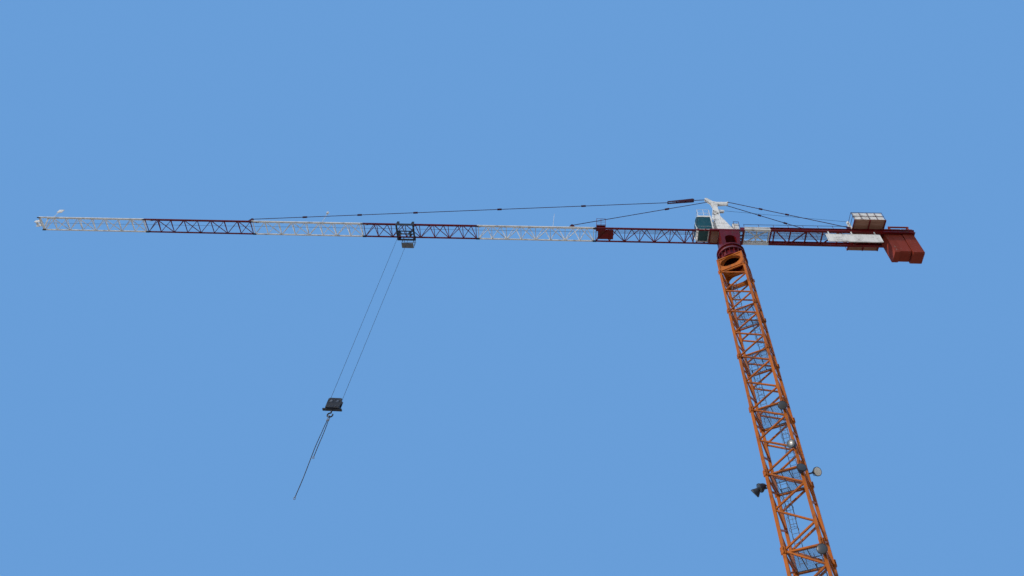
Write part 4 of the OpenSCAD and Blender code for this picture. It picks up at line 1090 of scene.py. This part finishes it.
class CRANE_OT_head_joint(bpy.types.Operator):
    """Bolted joint plates over the tower head's two side plates and its upper part."""

    bl_idname = "crane.head_joint"
    bl_label = "Tower head joint"

    def execute(self, context):
        deck, knee, column_top = 15.0, 290.0, 505.0
        foot_half, top_half = 62.0, 14.0
        foot_front, knee_front = 67.0, 84.0
        foot_back, knee_back = 60.0, -16.0
        low, top = 140.0, 240.0
        lean = (foot_half - top_half) / (column_top - deck)
        front_lean = (knee_front - foot_front) / (knee - deck)
        back_lean = (foot_back - knee_back) / (knee - deck)
        out = foot_half - lean * (low - deck)
        proud = 1.5
        thick = 6.0
        plate = block(along_jib(-100, -70, low), along_jib(60, -20, top), 0.0002)
        cuts = [(along_jib(0, -out - proud, low), (0, -1, lean)),
                (along_jib(0, -out - proud + thick, low), (0, 1, -lean)),
                (along_jib(-foot_front - front_lean * (low - deck), 0, low), (-1, 0, -front_lean)),
                (along_jib(foot_back - back_lean * (low - deck), 0, low), (1, 0, back_lean))]
        for place, normal in cuts:
            trim(plate, place, normal)
        heads = bolt_head(2.6 * MM, 3.2 * MM)
        tilt = Matrix.Rotation(QUARTER - math.atan(lean), 4, "X")
        places = [Matrix.Translation(along_jib(x, -out - proud + lean * (z - low), z)) @ tilt
                  for z in (150, 166, 216, 232) for x in (-66, -46, -26, -8)]
        side = joined([plate, spread(heads, places)])
        pair = spread(side, [Matrix(), Matrix.Rotation(math.pi, 4, "Z") @ Matrix.Diagonal((-1, 1, 1, 1))])
        edit(pair, bpy.ops.mesh.normals_make_consistent, inside=False)
        seat(pair, "head_joint_plates", "upperworks", "white_paint")
        return {"FINISHED"}


# Cab

class CRANE_OT_cab(bpy.types.Operator):
    """Window seals, lower side panes and corner glass, the wiper, and the door's edge and handle."""

    bl_idname = "crane.cab"
    bl_label = "Cab fittings"

    def window(self, y):
        """A seal along one side window's outline: straight sill, top and back, and a bulged front."""
        back, front, sill, top = -12.0, -145.0, 52.0, 206.0
        centre_x, centre_z, radius = 115.0, 96.6, 246.0
        base = along_jib(-105, 0, 15.3)
        arc = [top + (sill - top) * k / 12 for k in range(13)]
        outline = [(back, sill), (back, top)]
        outline += [(centre_x - math.sqrt(radius ** 2 - (z - centre_z) ** 2), z) for z in arc]
        points = [(base.x + max(x, front) * MM, y, base.z + z * MM) for x, z in outline]
        alone(curve_along("seal", points, 1.5 * MM, 2, closed=True))
        bpy.ops.object.convert(target="MESH")
        return bpy.context.object

    def corner(self, y):
        """The glass that wraps from the curved front on to one side, from the face y outwards in Y."""
        centre = along_jib(10, y, 111.9)
        end = centre + Vector((0, 1.2 * MM, 0))
        past = Vector((0, 5 * MM, 0))
        pane = bar(centre, end, 259.8 * MM, 160)
        cut(pane, bar(centre - past, end + past, 248 * MM, 160))
        for place, normal in ((along_jib(-205, 0, 0), (1, 0, 0)), (along_jib(0, 0, 20), (0, 0, -1)),
                              (along_jib(0, 0, 221), (0, 0, 1))):
            trim(pane, place, normal)
        return pane

    def execute(self, context):
        side = 63 * MM
        seals = [self.window(y) for y in (-side + 0.5 * MM, side - 0.5 * MM)]
        seat(joined(seals), "window_seals", "upperworks", "dark_steel", "seal_rubber")
        panes = [block(along_jib(-238, y, 20), along_jib(-118, y + 1.2, 63), 0.5 * MM) for y in (-64, 62.8)]
        seat(joined(panes), "lower_side_panes", "upperworks", "cab_glass")
        corners = [self.corner(y) for y in (-63.9, 62.7)]
        seat(joined(corners), "cab_corner_glass", "upperworks", "cab_glass")
        arm = bar(along_jib(-246, -12, 58), along_jib(-251, -21, 132), 1.0 * MM, 8)
        blade = bar(along_jib(-250.6, -21, 98), along_jib(-245.8, -21, 165), 1.1 * MM, 6)
        hub = bar(along_jib(-248, -12, 58), along_jib(-243, -12, 58), 3 * MM, 12, 0.4 * MM)
        seat(joined([arm, blade, hub]), "cab_wiper", "upperworks", "dark_steel", "seal_rubber")
        back = -105
        edges = [block(along_jib(back - 0.4, y0, z0), along_jib(back + 1.4, y1, z1), 0.4 * MM)
                 for y0, y1, z0, z1 in ((-24, -22, 20, 205), (22, 24, 20, 205), (-24, 24, 205, 207))]
        handle = bar(along_jib(back + 3, 17, 100), along_jib(back + 3, 17, 122), 1.2 * MM, 8, 0.3 * MM)
        seat(joined([*edges, handle]), "cab_door_trim", "upperworks", "white_paint")
        return {"FINISHED"}


# Counter-jib fittings

class CRANE_OT_winch(bpy.types.Operator):
    """Rope on the hoist drum, cooling fins on its motor and bolts on its gearbox."""

    bl_idname = "crane.winch"
    bl_label = "Winch fittings"

    def execute(self, context):
        radius = context.scene.crane_ropes.rope / 2
        first_turn = along_jib(1079, -28, 100)
        turns = ring(first_turn, 24 * MM + radius, radius, UPRIGHT, 40, 6)
        row(turns, 24, (0, 2 * radius, 0))
        seat(turns, "drum_rope", "upperworks", "dark_steel", "hoist_rope")
        floor = 57.6
        fin = bar(along_jib(1175, -14, floor + 34), along_jib(1176, -14, floor + 34), 21.4 * MM, 32)
        row(fin, 12, (3.6 * MM, 0, 0))
        box = block(along_jib(1186, -8, floor + 52), along_jib(1210, 6, floor + 64), 1.0 * MM)
        seat(joined([fin, box]), "motor_fins", "upperworks", "white_paint")
        upright = Matrix.Rotation(QUARTER, 4, "X")
        places = [Matrix.Translation(along_jib(x, -34, floor + z)) @ upright
                  for x in (1123, 1135, 1147, 1159, 1167) for z in (5, 57)]
        seat(spread(bolt_head(2 * MM, 2 * MM), places), "gearbox_bolts", "upperworks", "dark_steel")
        return {"FINISHED"}


class CRANE_OT_cabinet(bpy.types.Operator):
    """The switch cabinet that stands on the slewing frame's deck."""

    bl_idname = "crane.cabinet"
    bl_label = "Switch cabinet"

    def execute(self, context):
        left, right, face, back, low, top = 64, 112, -40, -6, 18.4, 150
        body = block(along_jib(left, face, low), along_jib(right, back, top), 1.2 * MM)
        door_sides = [left + 23 * k for k in (0, 1)]
        doors = [block(along_jib(x + 2, face - 1.6, low + 6), along_jib(x + 22, face + 0.2, top - 5),
                       0.5 * MM) for x in door_sides]
        handles = [bar(along_jib(left + x, face - 2.4, 78), along_jib(left + x, face - 2.4, 92), 0.9 * MM, 8,
                       0.2 * MM) for x in (20, 27)]
        slats = [block(along_jib(x + 6, face - 2.4, z), along_jib(x + 18, face - 1.4, z + 1.6), 0.2 * MM)
                 for x in door_sides for z in [30 + 3.4 * i for i in range(7)]]
        roof = block(along_jib(left - 2.5, face - 4, top), along_jib(right + 2.5, back + 2, top + 2.5))
        seat(joined([body, *doors, *handles, *slats, roof]), "switch_cabinet", "upperworks", "white_paint")
        return {"FINISHED"}


class CRANE_OT_board_trim(bpy.types.Operator):
    """The bare board's edge frame and its rivets."""

    bl_idname = "crane.board_trim"
    bl_label = "Board trim"

    def execute(self, context):
        low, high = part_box("name_board")
        high.z = JIB_Z - 40 * MM
        length = high.x - low.x
        front, back = low.y - 1.2 * MM, low.y + 0.5 * MM
        wide, half_seam, rivets = 4 * MM, 0.4 * MM, 24
        rails = [block((low.x, front, z), (high.x, back, z + wide), 0.4 * MM) for z in (low.z, high.z - wide)]
        stiles = [block((x, front, low.z), (x + wide, back, high.z), 0.4 * MM)
                  for x in (low.x, high.x - wide)]
        seams = [block((x - half_seam, low.y - 0.3 * MM, low.z + wide),
                       (x + half_seam, low.y + 0.3 * MM, high.z - wide), 0.1 * MM)
                 for x in [low.x + length * k / 3 for k in (1, 2)]]
        rivet = bar((0, -0.6 * MM, 0), (0, 0, 0), 1.0 * MM, 8, 0.2 * MM)
        spots = [Matrix.Translation((low.x + length * (k + 0.5) / rivets, front, z))
                 for k in range(rivets) for z in (low.z + wide / 2, high.z - wide / 2)]
        pieces = [*rails, *stiles, *seams, spread(rivet, spots)]
        seat(joined(pieces), "board_trim", "upperworks", "white_paint")
        return {"FINISHED"}


class CRANE_OT_slab_fittings(bpy.types.Operator):
    """Lifting eyes on the counterweight's slabs."""

    bl_idname = "crane.slab_fittings"
    bl_label = "Slab fittings"

    def execute(self, context):
        slab_top, first, half, pitch, extra_gap = 60, 1250.5, 21.2, 42.9, 6
        eye = ring((0, 0, 7 * MM), 6 * MM, 1.8 * MM, UPRIGHT, 20, 8)
        middles = [first + half + pitch * k + (extra_gap if k > 2 else 0) for k in range(5)]
        places = [Matrix.Translation(along_jib(x, y, slab_top)) for x in middles for y in (-58, 58)]
        seat(spread(eye, places), "slab_eyes", "upperworks", "dark_steel")
        return {"FINISHED"}


OPERATORS = (
    CRANE_OT_stage, CRANE_OT_finishes, CRANE_OT_slings, CRANE_OT_mast_joints, CRANE_OT_ladder_cages,
    CRANE_OT_base_nuts, CRANE_OT_slewing_support, CRANE_OT_ring_bolts, CRANE_OT_rest_platforms,
    CRANE_OT_jib_joints, CRANE_OT_gratings, CRANE_OT_boards, CRANE_OT_falls, CRANE_OT_block_fittings,
    CRANE_OT_lamps, CRANE_OT_head_joint, CRANE_OT_cab, CRANE_OT_winch, CRANE_OT_cabinet,
    CRANE_OT_board_trim, CRANE_OT_slab_fittings,
)


class CRANE_PT_panel(bpy.types.Panel):
    """The crane's groups of pieces and their settings."""

    bl_label = "Tower crane"
    bl_idname = "CRANE_PT_panel"
    bl_space_type = "VIEW_3D"
    bl_region_type = "UI"
    bl_category = "Tower crane"

    def draw(self, context):
        for operator in OPERATORS:
            self.layout.operator(operator.bl_idname)
        for name in GROUPS:
            group = getattr(context.scene, name)
            for key in group.__annotations__:
                self.layout.prop(group, key)


GROUPS = {"crane_finishes": CraneFinishes, "crane_mast": CraneMastSizes, "crane_decks": CraneDeckSizes,
          "crane_ropes": CraneRopeSizes, "crane_view": CraneView}


def register():
    for cls in (*GROUPS.values(), *OPERATORS, CRANE_PT_panel):
        bpy.utils.register_class(cls)
    for name, group in GROUPS.items():
        setattr(bpy.types.Scene, name, bpy.props.PointerProperty(type=group))


def unregister():
    for name in GROUPS:
        delattr(bpy.types.Scene, name)
    for cls in (CRANE_PT_panel, *reversed(OPERATORS), *GROUPS.values()):
        bpy.utils.unregister_class(cls)


def main():
    register()
    for operator in OPERATORS:
        group, name = operator.bl_idname.split(".")
        getattr(getattr(bpy.ops, group), name)()


if __name__ == "__main__":
    main()
